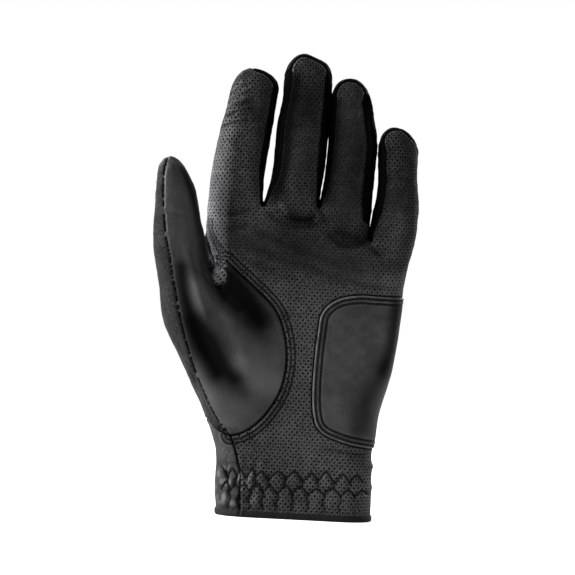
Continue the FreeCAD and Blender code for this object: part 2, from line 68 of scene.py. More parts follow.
T0 = time.time()
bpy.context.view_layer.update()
H = 0.68          # lattice pitch of the master surface, mm
rng = np.random.RandomState(7)


def note(s):
    print("[%6.1f s] %s" % (time.time() - T0, s), flush=True)


# =============================================================================================
# 1. The glove's outline in the plane of the palm, in the frame's millimetres (x, z)
# =============================================================================================
THUMB_L = [(-38.8, -34), (-38.8, 2), (-39.7, 12), (-39.8, 26), (-40.3, 33), (-41.8, 37.5), (-43.8, 42.5), (-46.0, 47.5),
           (-48.1, 52.5), (-50.4, 57.5), (-52.8, 62.5), (-55.3, 67.5), (-57.8, 72.5), (-60.4, 77.5), (-63.1, 82.5),
           (-65.8, 87.5), (-68.2, 92.5), (-69.9, 97.5), (-70.9, 102.5), (-71.5, 107.5), (-72.3, 112.5), (-73.2, 117.5),
           (-74.2, 122.5), (-75.2, 127.5), (-76.0, 133), (-76.3, 142), (-76.2, 152), (-76.0, 162), (-75.7, 168),
           (-74.9, 172), (-72.6, 175.2), (-69.3, 176.5), (-65.8, 175.1), (-62.8, 172), (-59.7, 167), (-57.2, 162),
           (-55.4, 156), (-54.0, 150), (-52.4, 143.5), (-50.6, 137), (-49.0, 131), (-47.6, 125)]
HAND_L = [(-47.6, 126.5), (-49.3, 130.0), (-50.6, 134.5), (-51.0, 139.0), (-50.8, 144.0), (-50.7, 148.5), (-50.6, 152.5), (-50.2, 160),
          (-49.6, 168), (-48.9, 176), (-47.8, 184), (-46.3, 192), (-44.9, 199), (-43.5, 205), (-42.3, 211), (-41.0, 215.5),
          (-39.0, 219.3), (-36.0, 222.3), (-31.8, 223.6), (-27.0, 223.0), (-22.9, 221.1), (-19.9, 218.1), (-18.4, 214.3),
          (-18.6, 208), (-19.3, 202), (-20.3, 195), (-21.3, 187), (-22.2, 179), (-22.9, 172), (-23.3, 165), (-23.2, 159),
          (-22.9, 156.2)]
MIDDLE = [(-22.0, 158.5), (-20.9, 163.5), (-19.7, 169), (-18.9, 175), (-18.4, 182), (-18.2, 190), (-17.8, 197),
          (-17.0, 203), (-16.2, 209), (-15.5, 216), (-15.1, 221.5), (-14.0, 225.5), (-11.7, 229.4), (-8.8, 231.6),
          (-5.4, 232.2), (-1.6, 231.0), (2.4, 229.3), (5.6, 227.3), (7.6, 224.2), (8.4, 220.3), (8.5, 214), (8.3, 206),
          (7.9, 198), (7.6, 190), (7.2, 182), (6.8, 174), (6.0, 167), (5.5, 161.5), (5.2, 156.6)]
RING = [(5.6, 158.5), (6.2, 163), (7.0, 169), (7.6, 176), (8.1, 183), (8.3, 190), (8.3, 197), (8.3, 204), (8.5, 210),
        (9.2, 214.5), (10.9, 218.1), (13.6, 220.3), (17.2, 221.1), (21.0, 220.4), (24.4, 218.2), (26.8, 215), (28.5, 210.5),
        (29.9, 205), (31.1, 198), (32.2, 192), (32.6, 186), (32.3, 178), (32.0, 170), (31.6, 160), (31.0, 152),
        (30.6, 146), (30.5, 140.6)]
LITTLE = [(31.1, 144.5), (31.9, 150), (32.8, 157), (33.6, 163), (34.1, 169), (33.9, 175), (33.5, 182), (33.5, 188),
          (34.3, 192), (36.2, 195.4), (38.6, 197.2), (41.6, 197.9), (45.0, 197.1), (48.6, 194.8), (51.4, 191.1),
          (52.8, 187), (53.2, 181), (53.4, 173), (54.4, 166), (55.1, 160), (55.1, 152), (54.7, 146), (53.8, 140.5),
          (52.6, 135), (51.2, 129), (50.0, 122), (49.2, 115), (48.5, 107), (47.8, 99), (47.1, 91), (46.0, 83), (44.8, 75),
          (42.9, 67), (41.0, 60), (39.5, 53), (38.8, 46), (38.2, 37), (37.9, 32), (38.6, 27.5), (38.3, 22), (38.7, 17),
          (38.8, 10), (38.7, 0), (38.7, -34)]

THUMB_OVAL = [(-40.0, 127.0), (-33.0, 121.0), (-27.0, 116.0), (-20.0, 110.0), (-15.0, 105.0), (-11.6, 99.5),
              (-9.2, 93.0), (-7.6, 86.0), (-7.0, 79.0), (-7.5, 72.0), (-9.0, 65.0), (-12.0, 58.0), (-16.8, 50.5),
              (-22.0, 45.2), (-28.0, 41.4), (-33.0, 40.0)]
THUMB_SEAM = [(-33.0, 40.0), (-40.0, 48.0), (-45.0, 57.0), (-50.0, 68.0), (-54.0, 78.0), (-57.2, 87.0), (-60.0, 96.0),
              (-62.2, 105.0), (-64.9, 116.0), (-67.0, 127.0), (-69.6, 138.0), (-71.2, 150.0), (-72.0, 160.0),
              (-72.2, 168.0), (-71.2, 174.5), (-70.6, 182.0)]
SIDE_SEAM = [(-33.0, 40.0), (-30.2, 33.0), (-28.3, 26.0), (-27.0, 20.0), (-27.0, 12.0), (-26.4, 3.0), (-26.2, -30.0)]
HEEL = [(36.0, 112.7), (27.0, 112.7), (18.0, 110.8), (12.0, 106.9), (8.7, 101.8), (7.8, 94.0), (7.0, 84.0),
        (6.5, 70.0), (6.7, 60.0), (7.6, 52.5), (9.4, 47.0), (13.0, 43.3), (18.5, 40.9), (26.0, 38.7), (36.0, 37.0)]


def smooth(e0, e1, x):
    t = np.clip((np.asarray(x, float) - e0) / (e1 - e0), 0, 1)
    return t * t * (3 - 2 * t)


def catmull(points, step=1.0, closed=False):
    """A centripetal-like smooth line through the points, resampled at about one step."""
    P = np.array(points, float)
    n = len(P)
    out = []
    segs = n if closed else n - 1
    for i in range(segs):
        p0 = P[(i - 1) % n] if (closed or i > 0) else 2 * P[0] - P[1]
        p1, p2 = P[i], P[(i + 1) % n]
        p3 = P[(i + 2) % n] if (closed or i + 2 < n) else 2 * P[-1] - P[-2]
        L = np.linalg.norm(p2 - p1)
        k = max(1, int(math.ceil(L / step)))
        t = (np.arange(k) / k)[:, None]
        m1, m2 = (p2 - p0) / 2, (p3 - p1) / 2
        # tangents are kept no longer than the span, so uneven spacing can't overshoot
        for m in (m1, m2):
            ln = np.linalg.norm(m)
            if ln > L:
                m *= L / ln
        out.append((2 * t**3 - 3 * t**2 + 1) * p1 + (t**3 - 2 * t**2 + t) * m1 + (-2 * t**3 + 3 * t**2) * p2 + (t**3 - t**2) * m2)
    if not closed:
        out.append(P[-1:])
    return np.concatenate(out)


def shift_thumb(z):
    return -4.8 * smooth(106, 126, z)


def shift_ring(z):
    return 1.6 * smooth(150, 168, z)


# The thumb and the ring finger lie against their neighbours.  The lattice works on an outline in
# which they stand a little apart, and the finished vertices are moved back by the same amount.
tl = catmull(THUMB_L)
k0 = int(np.argmin(np.abs(tl[:, 1] - 60) + (tl[:, 0] > -45) * 99))
tl_s = tl.copy()
tl_s[:, 0] += shift_thumb(tl[:, 1])
hl = catmull(HAND_L)
md = catmull(MIDDLE)
rg = catmull(RING)
rg[:, 0] += shift_ring(rg[:, 1])
lt = catmull(LITTLE)
lt[:, 0] += shift_ring(lt[:, 1])
OUTLINE = np.concatenate([tl_s, hl, md, rg, lt])


def seg_dist(px, pz, poly, closed=True):
    """Distance from each point to a polyline, and its side."""
    A = poly
    B = np.roll(poly, -1, 0) if closed else poly[1:]
    A = A if closed else A[:-1]
    best = np.full(px.shape, 1e9, np.float32)
    side = np.zeros(px.shape, np.float32)
    px = px.astype(np.float32)
    pz = pz.astype(np.float32)
    for (ax, az), (bx, bz) in zip(A, B):
        dx, dz = bx - ax, bz - az
        L2 = dx * dx + dz * dz
        if L2 < 1e-9:
            continue
        t = np.clip(((px - ax) * dx + (pz - az) * dz) / L2, 0, 1)
        qx, qz = px - (ax + t * dx), pz - (az + t * dz)
        d = qx * qx + qz * qz
        m = d < best
        best = np.where(m, d, best)
        side = np.where(m, dx * qz - dz * qx, side)
    return np.sqrt(best), side


def inside(px, pz, poly):
    """Even-odd test."""
    A, B = poly, np.roll(poly, -1, 0)
    c = np.zeros(px.shape, bool)
    for (ax, az), (bx, bz) in zip(A, B):
        if az == bz:
            continue
        m = ((az > pz) != (bz > pz)) & (px < (bx - ax) * (pz - az) / (bz - az) + ax)
        c ^= m
    return c


def blur(a, s):
    """Separable Gaussian blur with a sigma of s grid steps."""
    r = int(3 * s) + 1
    k = np.exp(-0.5 * (np.arange(-r, r + 1) / s) ** 2)
    k /= k.sum()
    for ax in (0, 1):
        p = np.pad(a, [(r, r) if i == ax else (0, 0) for i in (0, 1)], mode="edge")
        out = np.zeros_like(a)
        for i, w in enumerate(k):
            sl = [slice(None), slice(None)]
            sl[ax] = slice(i, i + a.shape[ax])
            out += w * p[tuple(sl)]
        a = out
    return a


G = 0.5
gx = np.arange(-96, 78, G)
gz = np.arange(-34, 246, G)
X, Z = np.meshgrid(gx, gz, indexing="ij")
dist, _ = seg_dist(X, Z, OUTLINE)
ins = inside(X, Z, OUTLINE)
D = np.where(ins, dist, -dist).astype(float)
# the wrist is open: its outline runs straight on below the rim
note("outline field")

# ---- how far each digit has moved in the lattice, and which digit a column belongs to
XS = X.copy()                                       # true x of each lattice column
t_mid = np.interp(Z, [40, 100, 110, 118, 124, 126, 131, 138, 150, 180, 246], [-38, -40, -43, -46.5, -49.6, -50.4, -52.0, -53.4, -54.8, -52.0, -50.0])
t_wid = np.interp(Z, [40, 110, 120, 126.5, 246], [44, 26, 12, 1.4, 1.4])
WT = np.clip(0.5 - (X - t_mid) / t_wid, 0, 1)
WT = WT * WT * (3 - 2 * WT)
thumb_col = (X < t_mid) & (Z > 118)
XS = X - shift_thumb(Z) * WT
ring_col = X > np.interp(Z, [140, 150, 168, 200, 246], [5.4, 5.4, 7.4, 9.2, 9.6])
XS = np.where(ring_col, X - shift_ring(Z), XS)

CX = {"index": ([140, 155, 168, 187, 203, 214, 224], [-36.6, -36.9, -36.4, -34.3, -31.4, -30.0, -30.5]),
      "middle": ([140, 155, 168, 187, 206, 221, 232], [-8.2, -8.4, -7.0, -5.5, -4.2, -3.6, -4.6]),
      "ring": ([137, 152, 168, 187, 200, 212, 221], [18.6, 18.7, 19.6, 20.5, 20.0, 18.8, 17.5]),
      "little": ([126, 140, 150, 163, 177, 188, 198], [41.5, 43.0, 43.6, 44.3, 43.5, 43.1, 42.0])}
KN = {"index": 157.15, "middle": 157.15, "ring": 157.15, "little": 141.15}
MJ = {"index": 186.0, "middle": 189.0, "ring": 184.0, "little": 166.0}
TIP = {"index": 223.6, "middle": 232.2, "ring": 221.1, "little": 197.9}
CUT0 = {"index": 155.2, "middle": 155.2, "ring": 155.2, "little": 139.6}     # hand | finger pieces
CUT1 = {"index": 171.0, "middle": 172.5, "ring": 170.0, "little": 154.0}     # lower | upper pieces
FN = ["index", "middle", "ring", "little"]

# ---- cross-section fields
cr = [(-23.0, 156.0), (5.3, 156.5), (30.5, 140.5)]
crd = np.min([np.hypot(X - a, (Z - b) * np.where(Z < b, 1.0, 0.55)) for a, b in cr], 0)
A = 5.0 + 7.4 * smooth(2.0, 13.0, crd)
up = smooth(150, 178, Z)
A = A * (1 - up) + up * np.clip(A, 0, 11.6)
lit = smooth(29.5, 33.5, XS) * smooth(138, 150, Z)
A = A * (1 - lit) + lit * np.minimum(A, 10.2)
pm = 1 - smooth(120, 150, Z)                        # palm and wrist have a rounder, deeper edge
A = A * (1 - pm) + pm * (A + 4.2)
tw_bone = catmull([(-27, 47), (-32, 62), (-38, 78), (-46, 95), (-54, 110), (-61, 126), (-65, 145), (-68, 160), (-70, 178)], 2.0)
bd, _ = seg_dist(XS, Z, tw_bone, closed=False)
bt = np.clip((Z - 44) / 86, 0, 1)
rad = np.interp(Z, [40, 60, 80, 100, 115, 130, 180], [10, 20, 25, 24, 19, 16, 14])
TW = smooth(1.25, 0.35, bd / rad) * smooth(34, 56, Z)
TW = np.where(XS < -52, np.maximum(TW, smooth(-46, -56, XS) * smooth(48, 66, Z)), TW)
TW = np.maximum(TW, WT * smooth(106, 122, Z))
TW = TW * (1 - (1 - WT) * smooth(114, 126.5, Z))
free = smooth(108, 132, Z) * WT
A = A * (1 - free) + free * np.interp(Z, [112, 130, 145, 158, 168, 178], [12.6, 12.6, 11.2, 9.4, 7.6, 6.4])

Y0 = np.zeros_like(X)
BF = np.zeros_like(X)
BB = np.zeros_like(X)
zz = [-34, 0, 14, 26, 36, 52, 76, 100, 122, 137, 150, 165, 190, 246]
BF[:] = np.interp(Z, zz, [16.6, 16.6, 16.2, 15.6, 15.4, 15.6, 15.4, 14.4, 13.0, 12.0, 10.6, 10.2, 9.8, 9.4])
BB[:] = np.interp(Z, zz, [16.6, 16.6, 16.2, 15.6, 15.0, 14.4, 13.8, 13.4, 12.6, 11.8, 10.8, 10.4, 9.9, 9.4])
BF = BF * (1 - 0.11 * lit)
BB = BB * (1 - 0.11 * lit)
for f, off in (("index", 0.2), ("middle", -0.9), ("ring", 0.9), ("little", 0.2)):
    cx = np.interp(Z, *CX[f])
    mine = (np.abs(XS - cx) < 14.2) & (Z > KN[f] - 26)
    if f == "ring":
        mine &= XS > 5.5
    s = np.clip((Z - KN[f]) / (TIP[f] - KN[f]), 0, 1.2)
    dy = -3.4 * s * s + off * smooth(KN[f] - 20, KN[f] + 8, Z)
    Y0 = np.where(mine & (Z > CUT0[f] - 14), dy, Y0)
Y0 = blur(Y0, 1.2)
ty = np.interp(Z, [44, 60, 80, 100, 115, 130, 150, 178], [-3.0, -6.5, -9.5, -12.0, -14.0, -16.0, -18.2, -20.5])
tf = np.interp(Z, [44, 60, 80, 100, 115, 130, 150, 165, 178], [14.0, 15.2, 15.6, 14.6, 13.2, 11.6, 10.4, 9.0, 7.6])
tb = np.interp(Z, [44, 60, 80, 100, 115, 130, 150, 165, 178], [14.0, 14.6, 14.6, 14.0, 12.8, 11.4, 10.4, 9.0, 7.6])
twb = blur(TW, 2.0)
twb = np.where((Z > 125.5), TW, twb)
TW = twb
Y0 = Y0 * (1 - TW) + TW * ty
BF = BF * (1 - TW) + TW * tf
BB = BB * (1 - TW) + TW * tb
# behind the thenar the back of the hand keeps its height until the hand's edge
backkeep = smooth(-52, -40, XS) * (1 - smooth(126, 132, Z))
BB = np.where(Z < 132, BB * (1 - backkeep) + backkeep * (np.interp(Z, zz, [16.6, 16.6, 16.2, 15.6, 15.0, 14.4, 13.8, 13.4, 12.6, 11.8, 10.8, 10.4, 9.9, 9.4]) - Y0), BB)

N = 2.25
U = np.clip(1 - D / A, 0, None)
P = np.clip(1 - np.clip(U, 0, 1) ** N, 0, 1) ** (1 / N)
Pb = blur(P, 2.2)
k = smooth(1.6, 4.0, D)
P = P * (1 - k) + k * Pb
Ue = np.where(D > 0, np.clip(1 - P ** N, 0, 1) ** (1 / N), 1 - D / A)
note("section fields")


# ---- bilinear lookup of lattice fields
def look(a, x, z):
    fx = np.clip((x - gx[0]) / G, 0, len(gx) - 1.001)
    fz = np.clip((z - gz[0]) / G, 0, len(gz) - 1.001)
    i, j = fx.astype(int), fz.astype(int)
    u, v = fx - i, fz - j
    return (a[i, j] * (1 - u) * (1 - v) + a[i + 1, j] * u * (1 - v) + a[i, j + 1] * (1 - u) * v + a[i + 1, j + 1] * u * v)


# =============================================================================================
# 2. The master surface
# =============================================================================================
import openvdb as vdb

lx = np.arange(-84, 62, H)
ly = np.arange(-36, 24, H)
lz = np.arange(-4.0, 238, H)
LX, LZ = np.meshgrid(lx, lz, indexing="ij")
u2 = look(Ue, LX, LZ).astype(np.float32)
y2 = look(Y0, LX, LZ).astype(np.float32)
bf2 = look(BF, LX, LZ).astype(np.float32)
bb2 = look(BB, LX, LZ).astype(np.float32)
YY = ly.astype(np.float32)[None, :, None] - y2[:, None, :]
Vv = np.where(YY < 0, -YY / bf2[:, None, :], YY / bb2[:, None, :])
F = ((u2[:, None, :] ** N + Vv ** N) ** (1 / N) - 1) * 10.0
del YY, Vv
grid = vdb.FloatGrid(50.0)
grid.copyFromArray(np.ascontiguousarray(F, dtype=np.float32))
pts, tris_, quads = grid.convertToPolygons(isovalue=0.0, adaptivity=0.0) if hasattr(grid, "convertToPolygons") else (None, None, None)
if pts is None:
    pts, quads = grid.convertToQuads(0.0)
pts = np.array(pts, float)
quads = np.array(quads, int)
del F
V = np.stack([lx[0] + pts[:, 0] * H, ly[0] + pts[:, 1] * H, lz[0] + pts[:, 2] * H], 1)
note("surface: %d points, %d quads" % (len(V), len(quads)))


def field(p):
    u = look(Ue, p[:, 0], p[:, 2])
    y0 = look(Y0, p[:, 0], p[:, 2])
    yy = p[:, 1] - y0
    v = np.where(yy < 0, -yy / look(BF, p[:, 0], p[:, 2]), yy / look(BB, p[:, 0], p[:, 2]))
    return ((np.maximum(u, 0) ** N + v ** N) ** (1 / N) - 1) * 10.0


def neighbours(F3, n):
    e = np.concatenate([F3[:, [0, 1]], F3[:, [1, 2]], F3[:, [2, 0]]])
    e = np.concatenate([e, e[:, ::-1]])
    return e


def relax(p, edges, n, it, w):
    cnt = np.bincount(edges[:, 0], minlength=n)[:, None]
    for _ in range(it):
        s = np.stack([np.bincount(edges[:, 0], p[edges[:, 1], k], minlength=n) for k in range(3)], 1)
        p = p + w * (s / np.maximum(cnt, 1) - p)
    return p


# triangles, diagonal by shorter length
a, b, c, d = quads.T
l1 = np.linalg.norm(V[a] - V[c], axis=1)
l2 = np.linalg.norm(V[b] - V[d], axis=1)
m = l1 <= l2
T = np.concatenate([np.stack([a[m], b[m], c[m]], 1), np.stack([a[m], c[m], d[m]], 1),
                    np.stack([a[~m], b[~m], d[~m]], 1), np.stack([b[~m], c[~m], d[~m]], 1)])
# outward facing
fc = V[T].mean(1)
fn = np.cross(V[T[:, 1]] - V[T[:, 0]], V[T[:, 2]] - V[T[:, 0]])
pr = np.sum(fn * (fc - np.stack([fc[:, 0] * 0, look(Y0, fc[:, 0], fc[:, 2]), fc[:, 2]], 1)) * [0, 1, 0])
if pr < 0:
    T = T[:, ::-1]
edges = neighbours(T, len(V))
V = relax(V, edges, len(V), 2, 0.45)
for it in range(2):
    e = 0.15
    f0 = field(V)
    g = np.stack([(field(V + [e, 0, 0]) - field(V - [e, 0, 0])), (field(V + [0, e, 0]) - field(V - [0, e, 0])),
                  (field(V + [0, 0, e]) - field(V - [0, 0, e]))], 1) / (2 * e)
    g2 = np.maximum((g * g).sum(1), 0.05)
    step = (f0 / g2)[:, None] * g
    ln = np.linalg.norm(step, axis=1)[:, None]
    V = V - step * np.minimum(1, 0.6 / np.maximum(ln, 1e-9))
V = relax(V, edges, len(V), 2, 0.35)
note("projected")

# ---- back to true x; carry the panel coordinates with each point
tc = look(thumb_col.astype(float), V[:, 0], V[:, 2]) > 0.5
rc = look(ring_col.astype(float), V[:, 0], V[:, 2]) > 0.5


def coords(p):
    y0 = look(Y0, p[:, 0], p[:, 2])
    yy = p[:, 1] - y0
    return np.where(yy < 0, yy / look(BF, p[:, 0], p[:, 2]), yy / look(BB, p[:, 0], p[:, 2]))


SV = coords(V)                                      # -1 front .. +1 back
VL = V.copy()                                       # lattice position
V[:, 0] = V[:, 0] - shift_thumb(V[:, 2]) * look(WT, VL[:, 0], VL[:, 2])
V[:, 0] = np.where(rc, V[:, 0] - shift_ring(V[:, 2]), V[:, 0])
DIG = np.where(tc & (V[:, 2] > 100), 1, 0)          # 1: free thumb, 2..5: fingers
for i, f in enumerate(FN):
    cx = np.interp(V[:, 2], *CX[f])
    mine = (np.abs(V[:, 0] - cx) < 15.5) & (V[:, 2] > CUT0[f]) & (DIG == 0)
    if f == "middle":
        mine &= ~rc
    if f == "ring":
        mine &= rc
    DIG[mine & (np.abs(V[:, 0] - cx) < 15.5)] = i + 2
# nearest axis wins where two spans meet
for i, f in enumerate(FN):
    for j, g_ in enumerate(FN):
        if j == i + 1:
            ci, cj = np.interp(V[:, 2], *CX[f]), np.interp(V[:, 2], *CX[g_])
            both = (DIG == i + 2) | (DIG == j + 2)
            if (f, g_) == ("middle", "ring"):
                DIG[both & rc & (V[:, 2] > CUT0[g_]) & (V[:, 0] < 33)] = j + 2
                DIG[both & ~rc & (V[:, 2] > CUT0[f])] = i + 2
            elif (f, g_) == ("index", "middle"):
                split = np.interp(V[:, 2], [140, 156, 165, 180, 200, 220], [-22.9, -22.9, -22.0, -20.4, -18.5, -17.0])
                DIG[both & (V[:, 0] < split)] = i + 2
                DIG[both & (V[:, 0] >= split)] = j + 2
            else:
                split = np.interp(V[:, 2], [130, 141, 150, 165, 180, 200], [30.6, 30.6, 31.5, 32.9, 33.0, 33.0])
                DIG[both & (V[:, 0] < split)] = i + 2
                DIG[both & (V[:, 0] >= split) & (V[:, 2] > CUT0[g_])] = j + 2

# ---- seam levels: the front leather ends at VS, the back leather begins at VB
vs = np.full(X.shape, 0.30)
vb = np.full(X.shape, 0.30)
side_levels = {"index": (0.30, -0.68), "middle": (-0.76, -0.75), "ring": (-0.68, -0.84), "little": (-0.80, 0.30)}
for f in FN:
    cx = np.interp(Z, *CX[f])
    tip = TIP[f]
    reach = (np.abs(XS - cx) < 15) & (Z > KN[f] - 9)
    if f == "middle":
        reach &= ~ring_col
    if f == "ring":
        reach &= ring_col & (XS < 33)
    if f == "little":
        reach &= XS > np.interp(Z, [130, 141, 150, 165, 180, 200], [30.6, 30.6, 31.5, 32.9, 33.0, 33.0])
    L, R = side_levels[f]
    s = smooth(-3.5, 3.5, XS - cx)
    lev = L * (1 - s) + R * s
    tipw = smooth(tip - 13, tip - 5, Z)
    lev = lev * (1 - tipw) + tipw * np.where(lev > 0, lev * (1 - s) - 0.58 * s, -0.60)
    bk = np.where(lev > 0.2, lev, 0.52)
    close = smooth(tip - 16, tip - 8, Z)
    bk = bk * (1 - close) + close * lev
    vs = np.where(reach, lev, vs)
    vb = np.where(reach, bk, vb)
vs = blur(vs, 1.6)
vb = blur(vb, 1.6)
vb = np.maximum(vb, vs)
note("seam levels")


# =============================================================================================
# 3. Cutting the surface along its seams
# =============================================================================================
class Surf:
    def __init__(self, V, VL, SV, DIG, T):
        self.V, self.VL, self.SV, self.DIG, self.T = V, VL, SV, DIG, T
        self.tags = np.zeros(len(V), int)

    def cut(self, s, tag=0, where=None, lip=True):
        """Splits the triangles that the level s = 0 runs through; points that lie on it get the tag."""
        V, T = self.V, self.T
        s = s.astype(float).copy()
        e = np.concatenate([T[:, [0, 1]], T[:, [1, 2]], T[:, [2, 0]]])
        key_ = np.unique(e.min(1).astype(np.int64) * len(V) + e.max(1))
        a, b = (key_ // len(V)).astype(int), (key_ % len(V)).astype(int)
        ln = np.linalg.norm(V[a] - V[b], axis=1)

        def crossing():
            x = (s[a] * s[b] < 0)
            if lip:
                x &= (np.abs(s[a]) + np.abs(s[b]) <= 1.6 * ln + 0.05)
            if where is not None:
                x &= where[a] & where[b]
            return x

        x = crossing()
        t = np.zeros(len(a))
        t[x] = s[a[x]] / (s[a[x]] - s[b[x]])
        snap_a, snap_b = x & (t < 0.22), x & (t > 0.78)
        for ids, oth, tt in ((a[snap_a], b[snap_a], t[snap_a]), (b[snap_b], a[snap_b], 1 - t[snap_b])):
            first, idx = np.unique(ids, return_index=True)
            o = oth[idx]
            w = tt[idx][:, None]
            keep = s[first] != 0
            first, o, w = first[keep], o[keep], w[keep]
            self.V[first] += w * (self.V[o] - self.V[first])
            self.VL[first] += w * (self.VL[o] - self.VL[first])
            self.SV[first] += w[:, 0] * (self.SV[o] - self.SV[first])
            s[first] = 0.0
            if tag:
                self.tags[first] |= tag
        V = self.V
        x = crossing()
        ne = np.nonzero(x)[0]
        t = s[a[ne]] / (s[a[ne]] - s[b[ne]])
        base = len(V)
        tt = t[:, None]
        self.V = np.concatenate([V, V[a[ne]] * (1 - tt) + V[b[ne]] * tt])
        self.VL = np.concatenate([self.VL, self.VL[a[ne]] * (1 - tt) + self.VL[b[ne]] * tt])
        self.SV = np.concatenate([self.SV, self.SV[a[ne]] * (1 - t) + self.SV[b[ne]] * t])
        self.DIG = np.concatenate([self.DIG, self.DIG[a[ne]]])
        self.tags = np.concatenate([self.tags, np.full(len(ne), tag, int)])
        s = np.concatenate([s, np.zeros(len(ne))])
        key = a[ne].astype(np.int64) * base + b[ne]
        order = np.argsort(key)
        ks = key[order]

        def mid(p, q):
            lo, hi = np.minimum(p, q), np.maximum(p, q)
            kk = lo.astype(np.int64) * base + hi
            i = np.searchsorted(ks, kk)
            i = np.clip(i, 0, max(len(ks) - 1, 0))
            hit = (ks[i] == kk) if len(ks) else np.zeros(len(kk), bool)
            return np.where(hit, base + order[i] if len(ks) else -1, -1)

        if not len(ne):
            return self
        M = np.stack([mid(T[:, 0], T[:, 1]), mid(T[:, 1], T[:, 2]), mid(T[:, 2], T[:, 0])], 1)
        n = (M >= 0).sum(1)
        out = [T[n == 0]]
        one = np.nonzero(n == 1)[0]
        for k in range(3):
            q = one[M[one, k] >= 0]
            p0, p1, p2, mm = T[q, k], T[q, (k + 1) % 3], T[q, (k + 2) % 3], M[q, k]
            out += [np.stack([p0, mm, p2], 1), np.stack([mm, p1, p2], 1)]
        two = np.nonzero(n == 2)[0]
        for k in range(3):      # the corner k is cut off: edges k and k-1 are split
            q = two[(M[two, k] >= 0) & (M[two, (k + 2) % 3] >= 0)]
            p0, p1, p2 = T[q, k], T[q, (k + 1) % 3], T[q, (k + 2) % 3]
            m0, m2 = M[q, k], M[q, (k + 2) % 3]
            out += [np.stack([p0, m0, m2], 1), np.stack([m0, p1, p2], 1), np.stack([m0, p2, m2], 1)]
        three = np.nonzero(n == 3)[0]
        q = three
        out += [np.stack([T[q, 0], M[q, 0], M[q, 2]], 1), np.stack([T[q, 1], M[q, 1], M[q, 0]], 1),
                np.stack([T[q, 2], M[q, 2], M[q, 1]], 1), np.stack([M[q, 0], M[q, 1], M[q, 2]], 1)]
        self.T = np.concatenate(out)
        return self


S = Surf(V, VL, SV, DIG, T)
TAG_FINGER, TAG_BACK, TAG_OVAL, TAG_THUMB, TAG_SIDE, TAG_RIM, TAG_SLIT, TAG_BODY = 1, 2, 4, 8, 16, 32, 64, 128
S.cut(S.V[:, 2] - 0.0, TAG_RIM, lip=False)
keep = S.V[S.T].mean(1)[:, 2] > 0
S.T = S.T[keep]


def vs_at(q):
    return look(vs, S.VL[q, 0], S.VL[q, 2]) if q is not None else look(vs, S.VL[:, 0], S.VL[:, 2])


# front leather edge, then back leather edge where there is a strip between them
S.cut(S.SV - look(vs, S.VL[:, 0], S.VL[:, 2]), TAG_FINGER, lip=False)
w_ = look(vb, S.VL[:, 0], S.VL[:, 2]) - look(vs, S.VL[:, 0], S.VL[:, 2]) > 0.04
S.cut(S.SV - look(vb, S.VL[:, 0], S.VL[:, 2]), TAG_BACK, where=w_, lip=False)

tip_right = [(-71.2, 184.0), (-50.0, 184.0), (-53.2, 150.0), (-51.6, 143.5), (-49.8, 137), (-48.2, 131), (-46.8, 125.5),
             (-45.2, 120), (-43.6, 115.6), (-41.4, 112.6), (-39.4, 112.8), (-38.3, 117.6), (-39.4, 123)]
thumb_front_poly = np.concatenate([catmull(THUMB_OVAL), catmull(THUMB_SEAM)[1:], np.array(tip_right)])
base_seam = catmull([(-52.0, 51.5), (-45.6, 47.2), (-40.0, 42.6), (-33.0, 40.0)])
thumb_back_poly = np.concatenate([catmull(THUMB_SEAM), np.array([(-95.0, 190.0), (-95.0, 51.5)]), base_seam])
side_poly = np.concatenate([catmull(SIDE_SEAM), np.array([(-95.0, -30.0), (-95.0, 51.5)]), base_seam])
thumb_rear_poly = np.concatenate([catmull([(-44.5, 46.0), (-44.6, 60.0), (-45.0, 80.0), (-45.6, 100.0), (-46.4, 116.0), (-48.2, 129.0)]),
                                  np.array([(-49.6, 137.0), (-50.6, 142.0), (-50.0, 190.0), (-95.0, 190.0), (-95.0, 46.0)])])
slit_x = 3.0
slit_poly = np.array([(slit_x - 1.5, -20.0), (slit_x - 1.5, 58.0)] + [(slit_x + 1.5 * math.cos(a), 58 + 1.5 * math.sin(a)) for a in np.linspace(math.pi, 0, 9)][1:-1]
                     + [(slit_x + 1.5, 58.0), (slit_x + 1.5, -20.0)])


def line_dist(poly, x, z, closed=True, reach=7.0):
    """Distance to the line for points within reach of it; 9 further off."""
    o = np.argsort(z)
    xs, zs = x[o], z[o]
    best = np.full(len(x), 81.0)
    A = poly if closed else poly[:-1]
    B = np.roll(poly, -1, 0) if closed else poly[1:]
    for (ax, az), (bx, bz) in zip(A, B):
        dx, dz = bx - ax, bz - az
        L2 = dx * dx + dz * dz
        if L2 < 1e-9:
            continue
        i, j = np.searchsorted(zs, [min(az, bz) - reach, max(az, bz) + reach])
        px, pz = xs[i:j], zs[i:j]
        t = np.clip(((px - ax) * dx + (pz - az) * dz) / L2, 0, 1)
        best[i:j] = np.minimum(best[i:j], (px - (ax + t * dx)) ** 2 + (pz - (az + t * dz)) ** 2)
    out = np.empty(len(x))
    out[o] = np.sqrt(best)
    return out


def within(x, z, poly):
    """Even-odd test on points sorted by z."""
    o = np.argsort(z)
    xs, zs = x[o], z[o]
    c = np.zeros(len(x), bool)
    for (ax, az), (bx, bz) in zip(poly, np.roll(poly, -1, 0)):
        if az == bz:
            continue
        i, j = np.searchsorted(zs, [min(az, bz), max(az, bz)])
        c[i:j] ^= xs[i:j] < (bx - ax) * (zs[i:j] - az) / (bz - az) + ax
    out = np.empty(len(x), bool)
    out[o] = c
    return out


def signed(poly, x, z):
    d = line_dist(poly, x, z)
    return np.where(within(x, z, poly), d, -d)


def near(q, poly, pad):
    lo, hi = poly.min(0) - pad, poly.max(0) + pad
    return (q[:, 0] > lo[0]) & (q[:, 0] < hi[0]) & (q[:, 2] > lo[1]) & (q[:, 2] < hi[1])


